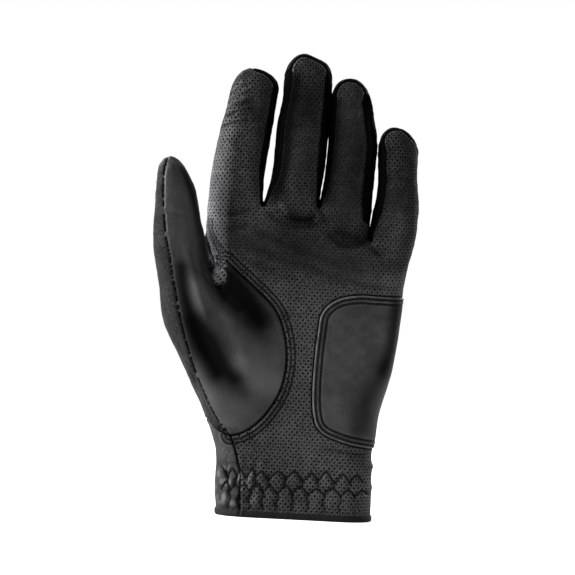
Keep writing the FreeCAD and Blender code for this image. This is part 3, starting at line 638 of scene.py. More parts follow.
def cut_poly(poly, tag, front):
    w = near(S.V, poly, 2.0)
    w &= (S.SV < 0.30) if front else (S.SV > 0.25)
    s = np.full(len(S.V), -9.0)
    s[w] = signed(poly, S.V[w, 0], S.V[w, 2])
    S.cut(s, tag, where=w)


cut_poly(thumb_front_poly, TAG_OVAL, True)
cut_poly(thumb_back_poly, TAG_THUMB, True)
cut_poly(side_poly, TAG_SIDE, True)
cut_poly(thumb_rear_poly, TAG_THUMB, False)
cut_poly(slit_poly, TAG_SLIT, False)
heel_poly = np.concatenate([np.array([(75.0, 112.7)]), catmull(HEEL), np.array([(75.0, 36.4)])])
w = near(S.V, heel_poly, 2.0) & (S.SV < 0.30)
s = np.full(len(S.V), -9.0)
s[w] = signed(heel_poly, S.V[w, 0], S.V[w, 2])
S.cut(s, 0, where=w)
for i, f in enumerate(FN):
    for zc in (CUT0[f], CUT1[f]):
        w = (S.DIG == i + 2) | ((np.abs(S.V[:, 2] - zc) < 2) & (np.abs(S.V[:, 0] - np.interp(zc, *CX[f])) < 15.5) & (S.DIG == 0))
        S.cut(S.V[:, 2] - zc, TAG_BODY, where=w)
low = S.V[:, 2] < 28
S.cut(S.V[:, 2] - 3.2, 0, where=low)
S.cut(S.V[:, 2] - 4.6, 0, where=S.V[:, 2] < 28)
S.cut(S.V[:, 2] - 12.5, 0, where=(S.V[:, 2] < 28) & (S.SV < 0.2))
S.cut(S.V[:, 2] - 24.5, 0, where=(S.V[:, 2] < 30) & (S.SV < 0.2))
w = near(S.V, slit_poly, 7.0) & (S.SV > 0.25)
s = np.full(len(S.V), -9.0)
s[w] = signed(slit_poly, S.V[w, 0], S.V[w, 2]) + 3.4
S.cut(s, 0, where=w)
LOOP_POLY = catmull([(9.6, 9.5), (20, 9.5), (31.2, 9.5), (32.4, 10.7), (32.4, 22), (32.4, 32.3), (31.2, 33.5), (20, 33.5), (9.6, 33.5),
                     (8.4, 32.3), (8.4, 22), (8.4, 10.7)], 0.6, closed=True)
w = near(S.V, LOOP_POLY, 3.0) & (S.SV > 0.25)
s = np.full(len(S.V), -9.0)
s[w] = signed(LOOP_POLY, S.V[w, 0], S.V[w, 2])
S.cut(s, 0, where=w)
V, VL, SV, DIG, T, TAGS = S.V, S.VL, S.SV, S.DIG, S.T, S.tags
# drop slivers with two equal corners
good = (T[:, 0] != T[:, 1]) & (T[:, 1] != T[:, 2]) & (T[:, 2] != T[:, 0])
T = T[good]
note("cut: %d points, %d triangles" % (len(V), len(T)))

# ---- label the triangles
C = V[T].mean(1)
CL = VL[T].mean(1)
CS = SV[T].mean(1)
lev_s = look(vs, CL[:, 0], CL[:, 2])
lev_b = look(vb, CL[:, 0], CL[:, 2])
front = CS < lev_s
rear = ~front & ((CS > lev_b) | (lev_b - lev_s < 0.04))
strip = ~front & ~rear
tri_dig = np.zeros(len(T), int)
for i, f in enumerate(FN):
    on = (np.sort(DIG[T], 1)[:, 1] == i + 2) | (np.sort(DIG[T], 1)[:, 2] == i + 2)
    on &= C[:, 2] > CUT0[f]
    tri_dig[on & (tri_dig == 0)] = i + 2
LAB = np.full(len(T), "", dtype=object)
in_tf = front & near(C, thumb_front_poly, 1) & within(C[:, 0], C[:, 2], thumb_front_poly)
in_tb = front & ~in_tf & near(C, thumb_back_poly, 1) & within(C[:, 0], C[:, 2], thumb_back_poly)
in_sd = front & ~in_tf & ~in_tb & near(C, side_poly, 1) & within(C[:, 0], C[:, 2], side_poly)
in_tr = ~front & within(C[:, 0], C[:, 2], thumb_rear_poly) & (tri_dig == 0)
in_sl = (CS > 0.5) & within(C[:, 0], C[:, 2], slit_poly)
tct = look(thumb_col.astype(float), CL[:, 0], CL[:, 2]) > 0.5
hi_t = C[:, 2] > 127.5
in_tf = (in_tf & (tct | ~hi_t)) | ((front | strip) & hi_t & tct & ~in_tb)
in_tb &= tct | ~hi_t
in_tf &= ~in_tb
in_tr = (in_tr & ~hi_t) | (rear & hi_t & tct & (tri_dig == 0))
LAB[front] = "palm"
LAB[rear | strip] = "back"
LAB[in_tf] = "thumb_front"
LAB[in_tb | in_tr] = "thumb_back"
LAB[in_sd] = "back"
LAB[in_sl] = "gone"
for i, f in enumerate(FN):
    on = tri_dig == i + 2
    seg = np.where(C[:, 2] < CUT1[f], "lower", "upper")
    cx = np.interp(C[:, 2], *CX[f])
    for part_, mask in (("front", on & front), ("back", on & rear)):
        for sgm in ("lower", "upper"):
            LAB[mask & (seg == sgm)] = "%s_%s_%s" % (f, sgm, part_)
    for sd, mk in (("left", C[:, 0] < cx), ("right", C[:, 0] >= cx)):
        for sgm in ("lower", "upper"):
            LAB[on & strip & mk & (seg == sgm)] = "%s_%s_%s_fourchette" % (f, sgm, sd)
web = strip & (tri_dig == 0) & (C[:, 2] > 128) & (LAB == "back")
LAB[web] = "webs"
names, counts = np.unique(LAB.astype(str), return_counts=True)
print(len(names), "panels")

# =============================================================================================
# 4. Relief: seams, folds, puckers and wrinkles moved into the surface itself
# =============================================================================================
n_pts = len(V)


def point_normals(P, T):
    fn = np.cross(P[T[:, 1]] - P[T[:, 0]], P[T[:, 2]] - P[T[:, 0]])
    nn = np.stack([np.bincount(T.ravel(), np.repeat(fn[:, k], 3), minlength=len(P)) for k in range(3)], 1)
    return nn / np.maximum(np.linalg.norm(nn, axis=1)[:, None], 1e-12)


NB = point_normals(V, T)
_n3 = np.random.RandomState(11).rand(32, 32, 32).astype(np.float32)


def noise(p, size, seed=0.0):
    """Smooth value noise in -1..1 with features of about size mm."""
    q = p / size + seed * 7.31
    i = np.floor(q).astype(int)
    f = q - i
    f = f * f * (3 - 2 * f)
    out = 0
    for dx in (0, 1):
        for dy in (0, 1):
            for dz in (0, 1):
                w = (f[:, 0] if dx else 1 - f[:, 0]) * (f[:, 1] if dy else 1 - f[:, 1]) * (f[:, 2] if dz else 1 - f[:, 2])
                out = out + w * _n3[(i[:, 0] + dx) % 32, (i[:, 1] + dy) % 32, (i[:, 2] + dz) % 32]
    return out * 2 - 1


def tag_distance(tag, reach=4.0):
    ids = np.nonzero((TAGS & tag) > 0)[0]
    kd = KDTree(len(ids))
    for k, i in enumerate(ids):
        kd.insert(V[i], k)
    kd.balance()
    d = np.full(n_pts, reach)
    lo = V[ids].min(0) - reach
    hi = V[ids].max(0) + reach
    cand = np.nonzero(((V > lo) & (V < hi)).all(1))[0]
    # coarse cells near the seam
    cell = np.floor(V / reach).astype(int)
    occ = set()
    for c in np.unique(cell[ids], axis=0):
        for dx in (-1, 0, 1):
            for dy in (-1, 0, 1):
                for dz in (-1, 0, 1):
                    occ.add((c[0] + dx, c[1] + dy, c[2] + dz))
    ck = cell[cand]
    ok = np.array([(a, b, c) in occ for a, b, c in ck])
    for i in cand[ok]:
        d[i] = min(reach, kd.find(V[i])[2])
    return d


is_front = smooth(0.25, -0.25, SV)
is_back = 1 - is_front
x_, z_ = V[:, 0], V[:, 2]
disp = np.zeros(n_pts)
# painted shade: darkness laid into the creases and folds, read by the materials as the fold attribute
painted_crease_shade = np.zeros(n_pts)
d_f = tag_distance(TAG_FINGER)
d_b = tag_distance(TAG_BACK)
note("seam distances")


def groove(d, depth, width, lip=0.0, at=1.4, lw=0.8):
    return -depth * np.exp(-(d / width) ** 2) + lip * np.exp(-((d - at) / lw) ** 2)


front_side = SV < look(vs, VL[:, 0], VL[:, 2])
disp += groove(d_f, 0.50, 0.62, 0.0) + np.where(front_side, 0.30 * np.exp(-((d_f - 1.3) / 0.8) ** 2), 0.05 * np.exp(-((d_f - 1.3) / 0.8) ** 2))
disp += groove(d_b, 0.40, 0.60, 0.22)


def far_dist(points, step=2.5):
    """Distance of every surface point from a line in the plane of the palm, with no limit."""
    L_ = catmull(points, step) if len(points) > 1 else np.array([points[0], points[0]], float) + [[0, 0], [1e-4, 0]]
    best = np.full(n_pts, 1e9)
    for (ax, az), (bx, bz) in zip(L_[:-1], L_[1:]):
        dx, dz = bx - ax, bz - az
        L2 = dx * dx + dz * dz
        if L2 < 1e-12:
            continue
        t = np.clip(((x_ - ax) * dx + (z_ - az) * dz) / L2, 0, 1)
        best = np.minimum(best, (x_ - ax - t * dx) ** 2 + (z_ - az - t * dz) ** 2)
    return np.sqrt(best)


def crease_at(points, depth, width, side="front", rim=0.25, ends=6.0, dark=0.6):
    """A fold: a valley along the line with a soft roll on each side, fading out at both ends. A valley also adds
    painted shade along its floor.
    """
    global disp, painted_crease_shade
    line = catmull(points, 1.0)
    if width > 2.1:
        d = far_dist(points)
    else:
        d = line_dist(line, x_, z_, closed=False, reach=width * 5 + 2)
        d = np.where(d > 8.9, 99, d)
    m = d < width * 4
    if not m.any():
        return
    w = smooth(0.95, 0.6, SV) if side == "side" else (is_front if side == "front" else is_back)
    e0 = np.hypot(x_ - line[0, 0], z_ - line[0, 1])
    e1 = np.hypot(x_ - line[-1, 0], z_ - line[-1, 1])
    L = np.linalg.norm(np.diff(line, axis=0), axis=1).sum()
    k = min(ends, L * 0.4)
    fade = smooth(0, k, e0) * smooth(0, k, e1) * 0.85 + 0.15
    prof = -np.exp(-(d / width) ** 2) + rim * np.exp(-((d - 1.9 * width) / (0.9 * width)) ** 2)
    disp += np.where(m, depth * prof * w * fade, 0)
    if depth > 0:
        painted_crease_shade = np.maximum(painted_crease_shade, np.where(m, dark * min(1.0, 0.45 + 0.5 * depth) * np.exp(-(d / (0.85 * width)) ** 2) * w * fade, 0))


if True:
    # roots of the fingers
    crease_at([(-14, 152.5), (-9, 149.6), (-3, 148.6), (2, 150.0), (5, 153.5)], 1.10, 1.1)
    crease_at([(-12, 147.5), (-6, 145.2), (1, 146.0), (6, 148.5)], 0.40, 1.6)
    crease_at([(9, 146), (13, 140.0), (19, 137.0), (25, 137.8), (30, 140.2)], 0.95, 2.0)
    crease_at([(-49, 150.5), (-42, 149.4), (-34, 151.0), (-26, 153.6)], 0.55, 1.4)
    crease_at([(30.5, 140.0), (33, 136.2), (37, 133.0), (41, 131.5)], 0.95, 1.5)
    crease_at([(-23, 155.0), (-18.6, 150.0), (-14, 147.0), (-10, 146.5)], 0.60, 1.2)
    crease_at([(5.2, 156.0), (8.5, 150.0), (12, 145.0)], 0.60, 1.2)
    crease_at([(-46, 145.5), (-40, 143.5), (-33, 143.8), (-26, 147)], 0.35, 1.8)
    # slanting folds across the upper palm
    crease_at([(-38, 137), (-27, 133.5), (-14, 129.5), (0, 126.0), (14, 121.0), (27, 117.0)], 0.60, 2.8, ends=14, dark=0.4)
    crease_at([(-34, 145), (-22, 140.5), (-8, 135.5), (8, 130.0), (24, 126.0), (38, 124.5)], 0.45, 2.6, ends=14, dark=0.35)
    crease_at([(-30, 127.5), (-18, 123.0), (-4, 118.5), (6, 113.5)], 0.40, 2.2, ends=10, dark=0.35)
    crease_at([(2, 141), (10, 134.5), (20, 131.0), (32, 129.5)], 0.40, 2.0, ends=8, dark=0.3)
    crease_at([(20, 121), (30, 117.6), (41, 117.0), (48, 118.0)], 0.45, 1.7, ends=8)
    crease_at([(12, 36.0), (20, 35.2), (28, 34.2), (38, 33.6)], 0.55, 1.3)
    # index finger: folds run down from the outer edge towards the pad
    crease_at([(-46, 198.5), (-41, 200.6), (-35, 204.6), (-29, 206.0)], 1.05, 1.3)
    crease_at([(-45, 203.8), (-39, 206.4), (-33, 210.2)], 0.62, 0.9)
    crease_at([(-44, 208.0), (-38, 211.0), (-33, 214.4)], 0.55, 0.9)
    crease_at([(-47, 193.5), (-42, 196.0), (-36, 199.2), (-31, 199.5)], 0.75, 1.1)
    crease_at([(-43, 212.2), (-37.5, 215.0), (-33, 218.0)], 0.28, 0.8)
    # soft bends in the middle of the fingers
    crease_at([(-48, 183), (-40, 184.5), (-30, 183.8), (-23, 182)], 0.35, 2.6, dark=0.12)
    crease_at([(-17, 188), (-9, 186.6), (0, 187.2), (6, 189)], 0.40, 2.6, dark=0.12)
    crease_at([(-16, 210), (-9, 207.8), (-1, 208.2), (6, 211)], 0.42, 2.2, dark=0.12)
    crease_at([(10, 200), (17, 197.6), (24, 198.4), (30, 200)], 0.38, 2.2, dark=0.12)
    crease_at([(9, 176), (17, 174.0), (26, 175.0), (31, 177)], 0.34, 2.6, dark=0.12)
    crease_at([(34, 172.8), (40, 171.0), (47, 172.0), (53, 174)], 0.60, 2.1, dark=0.12)
    crease_at([(35, 158), (41, 155.6), (48, 156.4), (54, 158)], 0.38, 2.4, dark=0.12)
    # thumb: a soft ridge below the ball, its valley on the seam's side, and the folds at the web
    crease_at([(-62.0, 128), (-58.6, 112), (-53.5, 98), (-47.5, 84), (-40.5, 73), (-33.0, 65.5)], 1.9, 4.4, ends=22, rim=0.35, dark=0.0)
    crease_at([(-60.4, 137), (-57.0, 124.5), (-53.4, 113), (-49.3, 101.5), (-45.0, 90.3)], -0.75, 2.0, ends=12, rim=0.0)
    crease_at([(-50.0, 132), (-47.4, 123), (-44.0, 115.8), (-39.0, 109.5), (-33.0, 104), (-27, 99)], 1.7, 3.0, ends=7, dark=0.5)
    crease_at([(-31, 77), (-25, 72.5), (-18, 69.0), (-12, 66)], -1.0, 6.0, ends=12, rim=0.0)
    crease_at([(-36, 96), (-28, 92), (-21, 85), (-16, 78)], -0.6, 6.0, ends=12, rim=0.0)
    crease_at([(-72, 150), (-66, 147.6), (-60, 148.2)], 0.25, 1.8, dark=0.2)
    # two seams that run from the oval seam up the side of the hand
    crease_at([(-40.7, 131.2), (-43.3, 134.4), (-45.6, 137.6), (-47.5, 141.7), (-48.1, 148.5)], 0.42, 0.75, "side", ends=2, rim=0.2, dark=1.6)
    crease_at([(-42.4, 129.6), (-44.9, 133.5), (-47.2, 137.6), (-49.2, 142.5), (-50.0, 149.4)], 0.42, 0.75, "side", ends=2, rim=0.2, dark=1.6)
    # the palm leather bunches where it meets the web
    crease_at([(-47.5, 128.5), (-44.0, 127.0), (-40.6, 127.6)], 0.35, 0.8, ends=2, dark=0.35)
    crease_at([(-47.0, 125.0), (-43.5, 123.8), (-39.8, 124.6)], 0.35, 0.7, ends=2, dark=0.45)
    crease_at([(-46.3, 121.8), (-43.0, 120.6), (-39.4, 121.0)], 0.35, 0.7, ends=2, dark=0.55)
    # back of the hand
    for cx_, zt in ((-34, 158), (-22.5, 150), (-7, 158), (5.4, 150), (19, 157), (30.5, 138), (43, 142)):
        crease_at([(cx_ - 8, zt + 2), (cx_, zt - 0.5), (cx_ + 8, zt + 2)], 0.45, 1.8, "back")
    crease_at([(-40, 128), (-25, 124), (-8, 122.5), (10, 122), (30, 121)], 0.40, 2.6, "back", ends=12)
    crease_at([(-36, 66), (-24, 62), (-12, 60.5)], 0.55, 2.2, "back")
    crease_at([(12, 60), (24, 61), (36, 64)], 0.55, 2.2, "back")
    crease_at([(-36, 48), (-24, 46.5), (-14, 47.5)], 0.45, 1.8, "back")
    for f in FN:
        c0 = np.interp(MJ[f], *CX[f])
        crease_at([(c0 - 9, MJ[f] + 1.5), (c0, MJ[f] + 0.2), (c0 + 9, MJ[f] + 1.5)], 0.42, 1.5, "back")
        crease_at([(c0 - 9, MJ[f] - 3.5), (c0, MJ[f] - 3.8), (c0 + 9, MJ[f] - 3.5)], 0.30, 1.2, "back")
        t1 = TIP[f] - 22
        c1 = np.interp(t1, *CX[f])
        crease_at([(c1 - 8, t1 + 1), (c1, t1 - 0.4), (c1 + 8, t1 + 1)], 0.26, 1.3, "back")
note("folds")

# thumb seams
sd_oval = np.full(n_pts, -9.0)
w = near(V, thumb_front_poly, 8) & (SV < 0.5)
sd_oval[w] = signed(thumb_front_poly, x_[w], z_[w])
d_ov = np.full(n_pts, 9.0)
d_ov[w] = line_dist(catmull(THUMB_OVAL), x_[w], z_[w], closed=False)
palm_side = (sd_oval < 0) & (d_ov < 8.9)
fr = smooth(0.35, 0.1, SV)
oval = -0.75 * np.exp(-(d_ov / 0.62) ** 2)
oval += np.where(palm_side, 0.42 * smooth(0.3, 1.1, d_ov) * smooth(6.5, 4.2, d_ov) - 0.34 * np.exp(-((d_ov - 2.1) / 0.42) ** 2) - 0.30 * np.exp(-((d_ov - 4.1) / 0.42) ** 2),
                 0.22 * np.exp(-((d_ov - 1.5) / 0.9) ** 2))
disp += np.where(d_ov < 8.9, oval * fr, 0)
d_th = tag_distance(TAG_THUMB)
disp += groove(d_th, 0.60, 0.60, 0.12, 1.35, 0.8)
d_sd = tag_distance(TAG_SIDE)
disp += groove(d_sd, 0.50, 0.55, 0.25, 1.2, 0.7)
tr_line = np.array(tip_right[2:])
d_tr = np.full(n_pts, 9.0)
d_tr[w] = line_dist(tr_line, x_[w], z_[w], closed=False)
disp += np.where(d_tr < 8.9, -0.5 * np.exp(-(d_tr / 0.6) ** 2), 0) * fr * (d_ov > 2)

# wrist: elastic rows, puckers between and below them
COL1 = [-36.2, -31.6, -26.6, -21.6, -16.9, -8.6, -0.2, 7.9, 15.8, 24.0, 31.5]
COL2 = [-34.0, -29.6, -25.0, -18.6, -12.2, -4.0, 3.2, 11.0, 19.2, 27.0, 34.0]
amp_x = np.interp(x_, [-45, -30, -20, -5, 15, 28, 36], [1.35, 1.35, 1.15, 0.85, 0.66, 0.40, 0.2])


def tongues(cols, z0, z1, top):
    """Soft upright bulges between two levels, with a narrow fold on each side."""
    out = np.zeros(n_pts)
    zz_ = (z_ - z0) / (z1 - z0)
    band = smooth(0, 0.22, zz_) * smooth(1.0, 0.74, zz_)
    c = np.array(cols)
    mids = (c[1:] + c[:-1]) / 2
    for m0 in mids:
        wob = m0 + 0.5 * np.sin(z_ * 0.9 + m0)
        out -= np.exp(-((x_ - wob) / 0.75) ** 2)
    for cc in c:
        out += 0.55 * np.exp(-((x_ - cc) / 2.1) ** 2)
    return out * band * top


pk = tongues(COL2, 2.6, 16.2, 0.85) + tongues(COL1, 13.5, 24.0, 0.75) + tongues(COL1, 22.0, 32.0, 0.25)
disp += pk * amp_x * is_front
def scallop(cols, z_hi, z_lo, x_end):
    c = np.array(cols)
    mids = np.concatenate([[c[0] - (c[1] - c[0]) / 2], (c[1:] + c[:-1]) / 2, [c[-1] + (c[-1] - c[-2]) / 2]])
    pts_ = []
    for i, cc in enumerate(c):
        for t_ in np.linspace(0, 1, 15)[:-1]:
            x0 = mids[i] * (1 - t_) + mids[i + 1] * t_
            k_ = 1 - abs(2 * t_ - 1) ** 1.35
            wob_ = 0.55 * math.sin(i * 2.4 + 0.8) + 0.35 * math.sin(x0 * 0.9)
            pts_.append((x0 + 0.35 * math.sin(i * 3.1 + z_hi), z_lo + (z_hi - z_lo) * k_ + wob_ * (0.4 + 0.6 * k_)))
    return [p for p in pts_ if abs(p[0]) < x_end]


zig = np.full(n_pts, 9.0)
wz = (z_ > 8) & (z_ < 29) & (SV < 0.4)
for cols, zh, zl in ((COL1, 23.9, 19.2), (COL2, 16.6, 12.8)):
    zig[wz] = np.minimum(zig[wz], line_dist(np.array(scallop(cols, zh, zl, 36.5)), x_[wz], z_[wz], closed=False))
disp += np.where(zig < 8, -0.50 * np.exp(-(zig / 0.75) ** 2) + 0.16 * np.exp(-((zig - 1.6) / 0.7) ** 2), 0) * is_front
# painted shade in the folds between the tongues of both rows
for cols, zz0, zz1 in ((COL2, 3.6, 14.0), (COL1, 15.5, 22.0)):
    c_ = np.array(cols)
    for m0 in (c_[1:] + c_[:-1]) / 2:
        wob = m0 + 0.5 * np.sin(z_ * 0.9 + m0)
        painted_crease_shade = np.maximum(painted_crease_shade, 0.75 * np.exp(-((x_ - wob) / 0.8) ** 2) * smooth(zz0 - 1, zz0 + 2, z_) * smooth(zz1 + 1, zz1 - 2, z_) * is_front * smooth(38, 20, x_))
# the elastic draws the leather in along both rows
disp += -0.42 * np.exp(-((z_ - 21.2) / 2.4) ** 2) * is_front * smooth(40, 30, np.abs(x_)) - 0.42 * np.exp(-((z_ - 15.0) / 2.2) ** 2) * is_front * smooth(40, 30, np.abs(x_))
bx = np.sin(x_ * 2 * np.pi / 5.2 + 1.3 * noise(V, 9.0, 3.0)) * np.exp(-((z_ - 18) / 8.0) ** 2)
disp += 0.22 * bx * is_back * smooth(-12, -24, x_)
# edge bumps on the right of the wrist
disp += 0.55 * np.exp(-((z_ - 27.6) / 1.3) ** 2) * smooth(33, 38, x_) + 0.35 * np.exp(-((z_ - 17.0) / 1.2) ** 2) * smooth(33, 38, x_)

# leather's own unevenness, finer on the thumb back and wrist wrap
calm = 1 - 0.6 * smooth(2, 8, sd_oval) * fr
hp = np.full(n_pts, -9.0)
w = near(V, heel_poly, 8) & (SV < 0.35)
hp[w] = signed(heel_poly, x_[w], z_[w])
calm *= 1 - 0.75 * smooth(-0.5, 1.0, hp)
disp += calm * (0.26 * noise(V, 13.0, 1.0) + 0.17 * noise(V * [1.0, 1.0, 0.55], 6.0, 2.0) + 0.085 * noise(V, 2.6, 4.0))
rid = 1 - np.abs(noise(V * [1.0, 1.0, 2.2], 9.0, 5.0))
disp += calm * 0.16 * rid ** 4 * (0.4 + 0.6 * smooth(110, 135, z_))
edge_wob = smooth(0.75, 0.1, np.abs(SV))
disp += 0.12 * edge_wob * noise(V, 4.2, 6.0) * calm

DV = V + NB * disp[:, None]
e_all = neighbours(T, n_pts)
DV = relax(DV, e_all, n_pts, 1, 0.18)
DV[:, 2] = np.where((TAGS & TAG_RIM) > 0, 0.0, np.maximum(DV[:, 2], 0.0))
ND = point_normals(DV, T)
note("relief")

# ---- what the materials read from the surface: seam distance, stitch rows, painted crease shade, and the overall tone with its painted light and shade
EDGE = np.minimum.reduce([d_f, d_b, d_th, d_sd, np.where(fr > 0.3, d_ov, 9.0), np.where((d_ov > 2) & (fr > 0.3), d_tr, 9.0), zig + 0.12])
EDGE = np.minimum(EDGE, np.where(hp < 0.1, np.abs(hp) * 0.62 + 0.02, 9.0))
ROW = np.where(palm_side, np.minimum(np.abs(d_ov - 2.1), np.abs(d_ov - 4.1)), 9.0)
ROW = np.minimum(ROW, 9.0)
# The tone multiplies the leather's colour and specular. Apart from its random variation it is mostly painted light and
# shade: here the front is painted brighter low on the palm and darker up the fingers, and the back is a flat 0.9.
PAINTED_LIGHT_AND_TONE = np.interp(z_, [0, 30, 60, 100, 112, 128, 150, 232], [0.85, 0.95, 1.25, 1.30, 1.0, 0.52, 0.48, 0.44])
PAINTED_LIGHT_AND_TONE = PAINTED_LIGHT_AND_TONE * is_front + (1 - is_front) * 0.9


def paint(points, width, gain, side="front"):
    """Paints light or shade into the leather's tone round a line: a gain above 1 is painted light, below 1 painted
    shade.
    """
    global PAINTED_LIGHT_AND_TONE
    d = far_dist(points)
    w_p = is_front if side == "front" else is_back
    PAINTED_LIGHT_AND_TONE = PAINTED_LIGHT_AND_TONE * (1 + (gain - 1) * np.exp(-(d / width) ** 2) * w_p)


on_thumb = (sd_oval > 0)
# painted light and shade on the thumb: its front's tone set by height, and the thumb-back strip painted dark against
# the light from the left
PAINTED_LIGHT_AND_TONE = np.where(on_thumb & (fr > 0.2), np.interp(z_, [60, 98, 110, 122, 138, 178], [1.12, 1.12, 0.95, 0.70, 0.82, 0.92]), PAINTED_LIGHT_AND_TONE)
PAINTED_LIGHT_AND_TONE = np.where(within(x_, z_, thumb_back_poly) & (fr > 0.2) & (look(WT, VL[:, 0], VL[:, 2]) > 0.5), 0.30, PAINTED_LIGHT_AND_TONE)
PAINTED_LIGHT_AND_TONE *= 1 + 0.18 * noise(V, 7.0, 21.0) * is_front + 0.14 * noise(V, 3.0, 22.0) * is_front * (~on_thumb)
# painted shade along the thumb's right edge, then painted highlights and shade on the thumb: the streak down its ridge,
# the dark valley beside the seam, the dark web and the bright ball of the thenar
T_keep = PAINTED_LIGHT_AND_TONE.copy()
paint([(-62.3, 171.0), (-59.4, 163.6), (-55.9, 153.8), (-52.6, 142.5), (-49.4, 131.6), (-46.9, 122.7), (-44.0, 115.4), (-39.0, 109.1)], 2.4, 0.08)
PAINTED_LIGHT_AND_TONE = np.where(on_thumb, PAINTED_LIGHT_AND_TONE, T_keep)
T_keep = PAINTED_LIGHT_AND_TONE.copy()
paint([(-61.5, 122.0), (-59.6, 110.0), (-55.0, 96.5), (-49.2, 84.1)], 3.4, 0.14)
paint([(-50.0, 92.0), (-44.0, 82.5), (-37.5, 73.5), (-33.0, 68.5)], 7.2, 0.05)
paint([(-31.0, 69.0), (-27.0, 62.0)], 4.0, 0.45)
paint([(-53.5, 95.0), (-48.5, 84.5), (-43.5, 75.5), (-41.0, 71.0)], 7.0, 0.06)
paint([(-47.0, 88.0), (-41.5, 78.0)], 5.0, 0.30)
paint([(-46.5, 83.0)], 6.0, 0.25)
paint([(-38.0, 67.5)], 4.0, 1.7)
paint([(-71.5, 142.0), (-70.5, 126.0)], 3.5, 0.75)
paint([(-62.5, 156.0), (-61.5, 144.0)], 6.0, 1.22)
paint([(-38.0, 118.0), (-31.5, 113.0), (-25.5, 106.5), (-20.5, 98.0)], 4.5, 0.30)
paint([(-57.0, 124.0), (-52.4, 110.0), (-47.6, 96.5), (-45.2, 91.0)], 1.0, 1.10)
paint([(-41.5, 120.0), (-35.0, 112.5), (-28.0, 104.0), (-22.0, 97.0)], 7.8, 0.05)
paint([(-30.3, 74.5), (-21.0, 69.0), (-13.4, 66.0)], 7.5, 2.2)
paint([(-20.0, 84.0)], 9.0, 1.25)
paint([(-62.0, 160.0)], 9.0, 1.15)
PAINTED_LIGHT_AND_TONE = np.where(on_thumb, PAINTED_LIGHT_AND_TONE, T_keep)
# painted light and shade over the heel, the palm's edges and the fingers
paint([(45.8, 108.0), (44.9, 96.0), (43.4, 84.4), (40.6, 76.0)], 3.3, 0.16)
paint([(42.5, 80.0), (38.5, 71.0), (33.5, 61.0), (30.7, 47.0)], 4.6, 0.42)
paint([(36.5, 108.0), (36.0, 92.0)], 3.0, 1.25)
paint([(24.0, 80.0)], 14.0, 1.22)
paint([(20.0, 52.0)], 9.0, 1.25)
paint([(44.0, 119.0)], 6.0, 2.6)
paint([(44.0, 134.0), (47.0, 150.0)], 5.0, 1.8)
paint([(38.0, 186.0)], 5.0, 0.7)
paint([(36.5, 172.0), (36.5, 160.0)], 2.4, 0.5)
paint([(-9.0, 96.0), (-4.0, 112.0)], 5.0, 0.85)
paint([(15.0, 143.5), (26.0, 140.5)], 4.0, 0.35)
paint([(-8.0, 149.6), (0.0, 148.4)], 3.6, 0.25)
paint([(-14.5, 156.5), (-12.0, 152.0), (-10.0, 149.0)], 1.3, 2.2)
paint([(-4.0, 203.0), (-5.0, 211.0)], 7.5, 0.55)
paint([(-7.0, 187.0)], 7.0, 1.45)
paint([(-5.0, 165.0)], 6.0, 1.25)
paint([(17.0, 207.0), (22.0, 204.0)], 6.0, 1.5)
paint([(20.0, 186.0), (20.0, 170.0)], 9.0, 0.80)
paint([(-33.0, 205.0), (-29.0, 200.0)], 4.5, 0.55)
paint([(-31.0, 183.0), (-31.0, 165.0)], 7.0, 0.98)
paint([(-36.0, 127.0), (-26.0, 118.0)], 3.5, 1.5)
paint([(-30.0, 212.0), (-32.0, 190.0), (-33.0, 166.0)], 9.0, 1.28)
paint([(-25.0, 144.0)], 6.0, 1.55)
paint([(-28.0, 131.0)], 6.0, 1.5)
paint([(-12.0, 140.0), (0.0, 134.0)], 6.0, 0.80)
# painted light: a bright band down the outer side of the index finger, in place of the rim light that the thumb blocks
x_edge = np.interp(z_, [117, 126, 134, 142, 152, 168, 184, 199, 211, 220], [-46.0, -48.0, -50.5, -51.0, -50.6, -49.6, -47.8, -44.9, -42.3, -38.0])
painted_light_gain = np.interp(z_, [115.0, 117.5, 121, 132, 150, 158, 165, 175, 185, 205, 212, 218], [0.2, 10.0, 18.0, 27.0, 24.0, 16.0, 9.0, 4.6, 2.8, 2.0, 1.7, 1.0])
painted_left_light = 1 + (painted_light_gain - 1) * smooth(12.5, 2.6, x_ - x_edge) ** 1.3 * (1 + 0.25 * noise(V, 4.0, 23.0))
painted_left_light = np.where((z_ > 115) & (DIG != 1) & (~on_thumb) & (fr > 0.1) & (look(WT, VL[:, 0], VL[:, 2]) < 0.6) & (x_ < -30), painted_left_light, 1.0)
PAINTED_LIGHT_AND_TONE = PAINTED_LIGHT_AND_TONE * painted_left_light
# painted shade at the foot of the web, painted light at the index finger's root
paint([(-41.2, 114.2)], 2.0, 0.04)
paint([(-30.0, 150.0), (-24.0, 156.0)], 7.0, 1.75)
# the index finger's slanting folds: painted shade along each fold and a painted highlight just above it
for k_, (fa, fb) in enumerate((((-47.2, 197.6), (-31.0, 203.6)), ((-46.0, 201.4), (-33.0, 207.6)), ((-44.8, 205.4), (-33.0, 211.6)), ((-43.0, 209.4), (-34.0, 214.8)), ((-47.8, 192.6), (-33.0, 197.6)))):
    paint([fa, ((fa[0] + fb[0]) / 2, (fa[1] + fb[1]) / 2 + 0.5), fb], 0.75, 0.30 if k_ in (0, 4) else 0.5)
    paint([(fa[0] + 0.4, fa[1] + 1.9), ((fa[0] + fb[0]) / 2, (fa[1] + fb[1]) / 2 + 2.2), (fb[0] - 3.0, fb[1] + 1.2)], 0.75, 2.3)
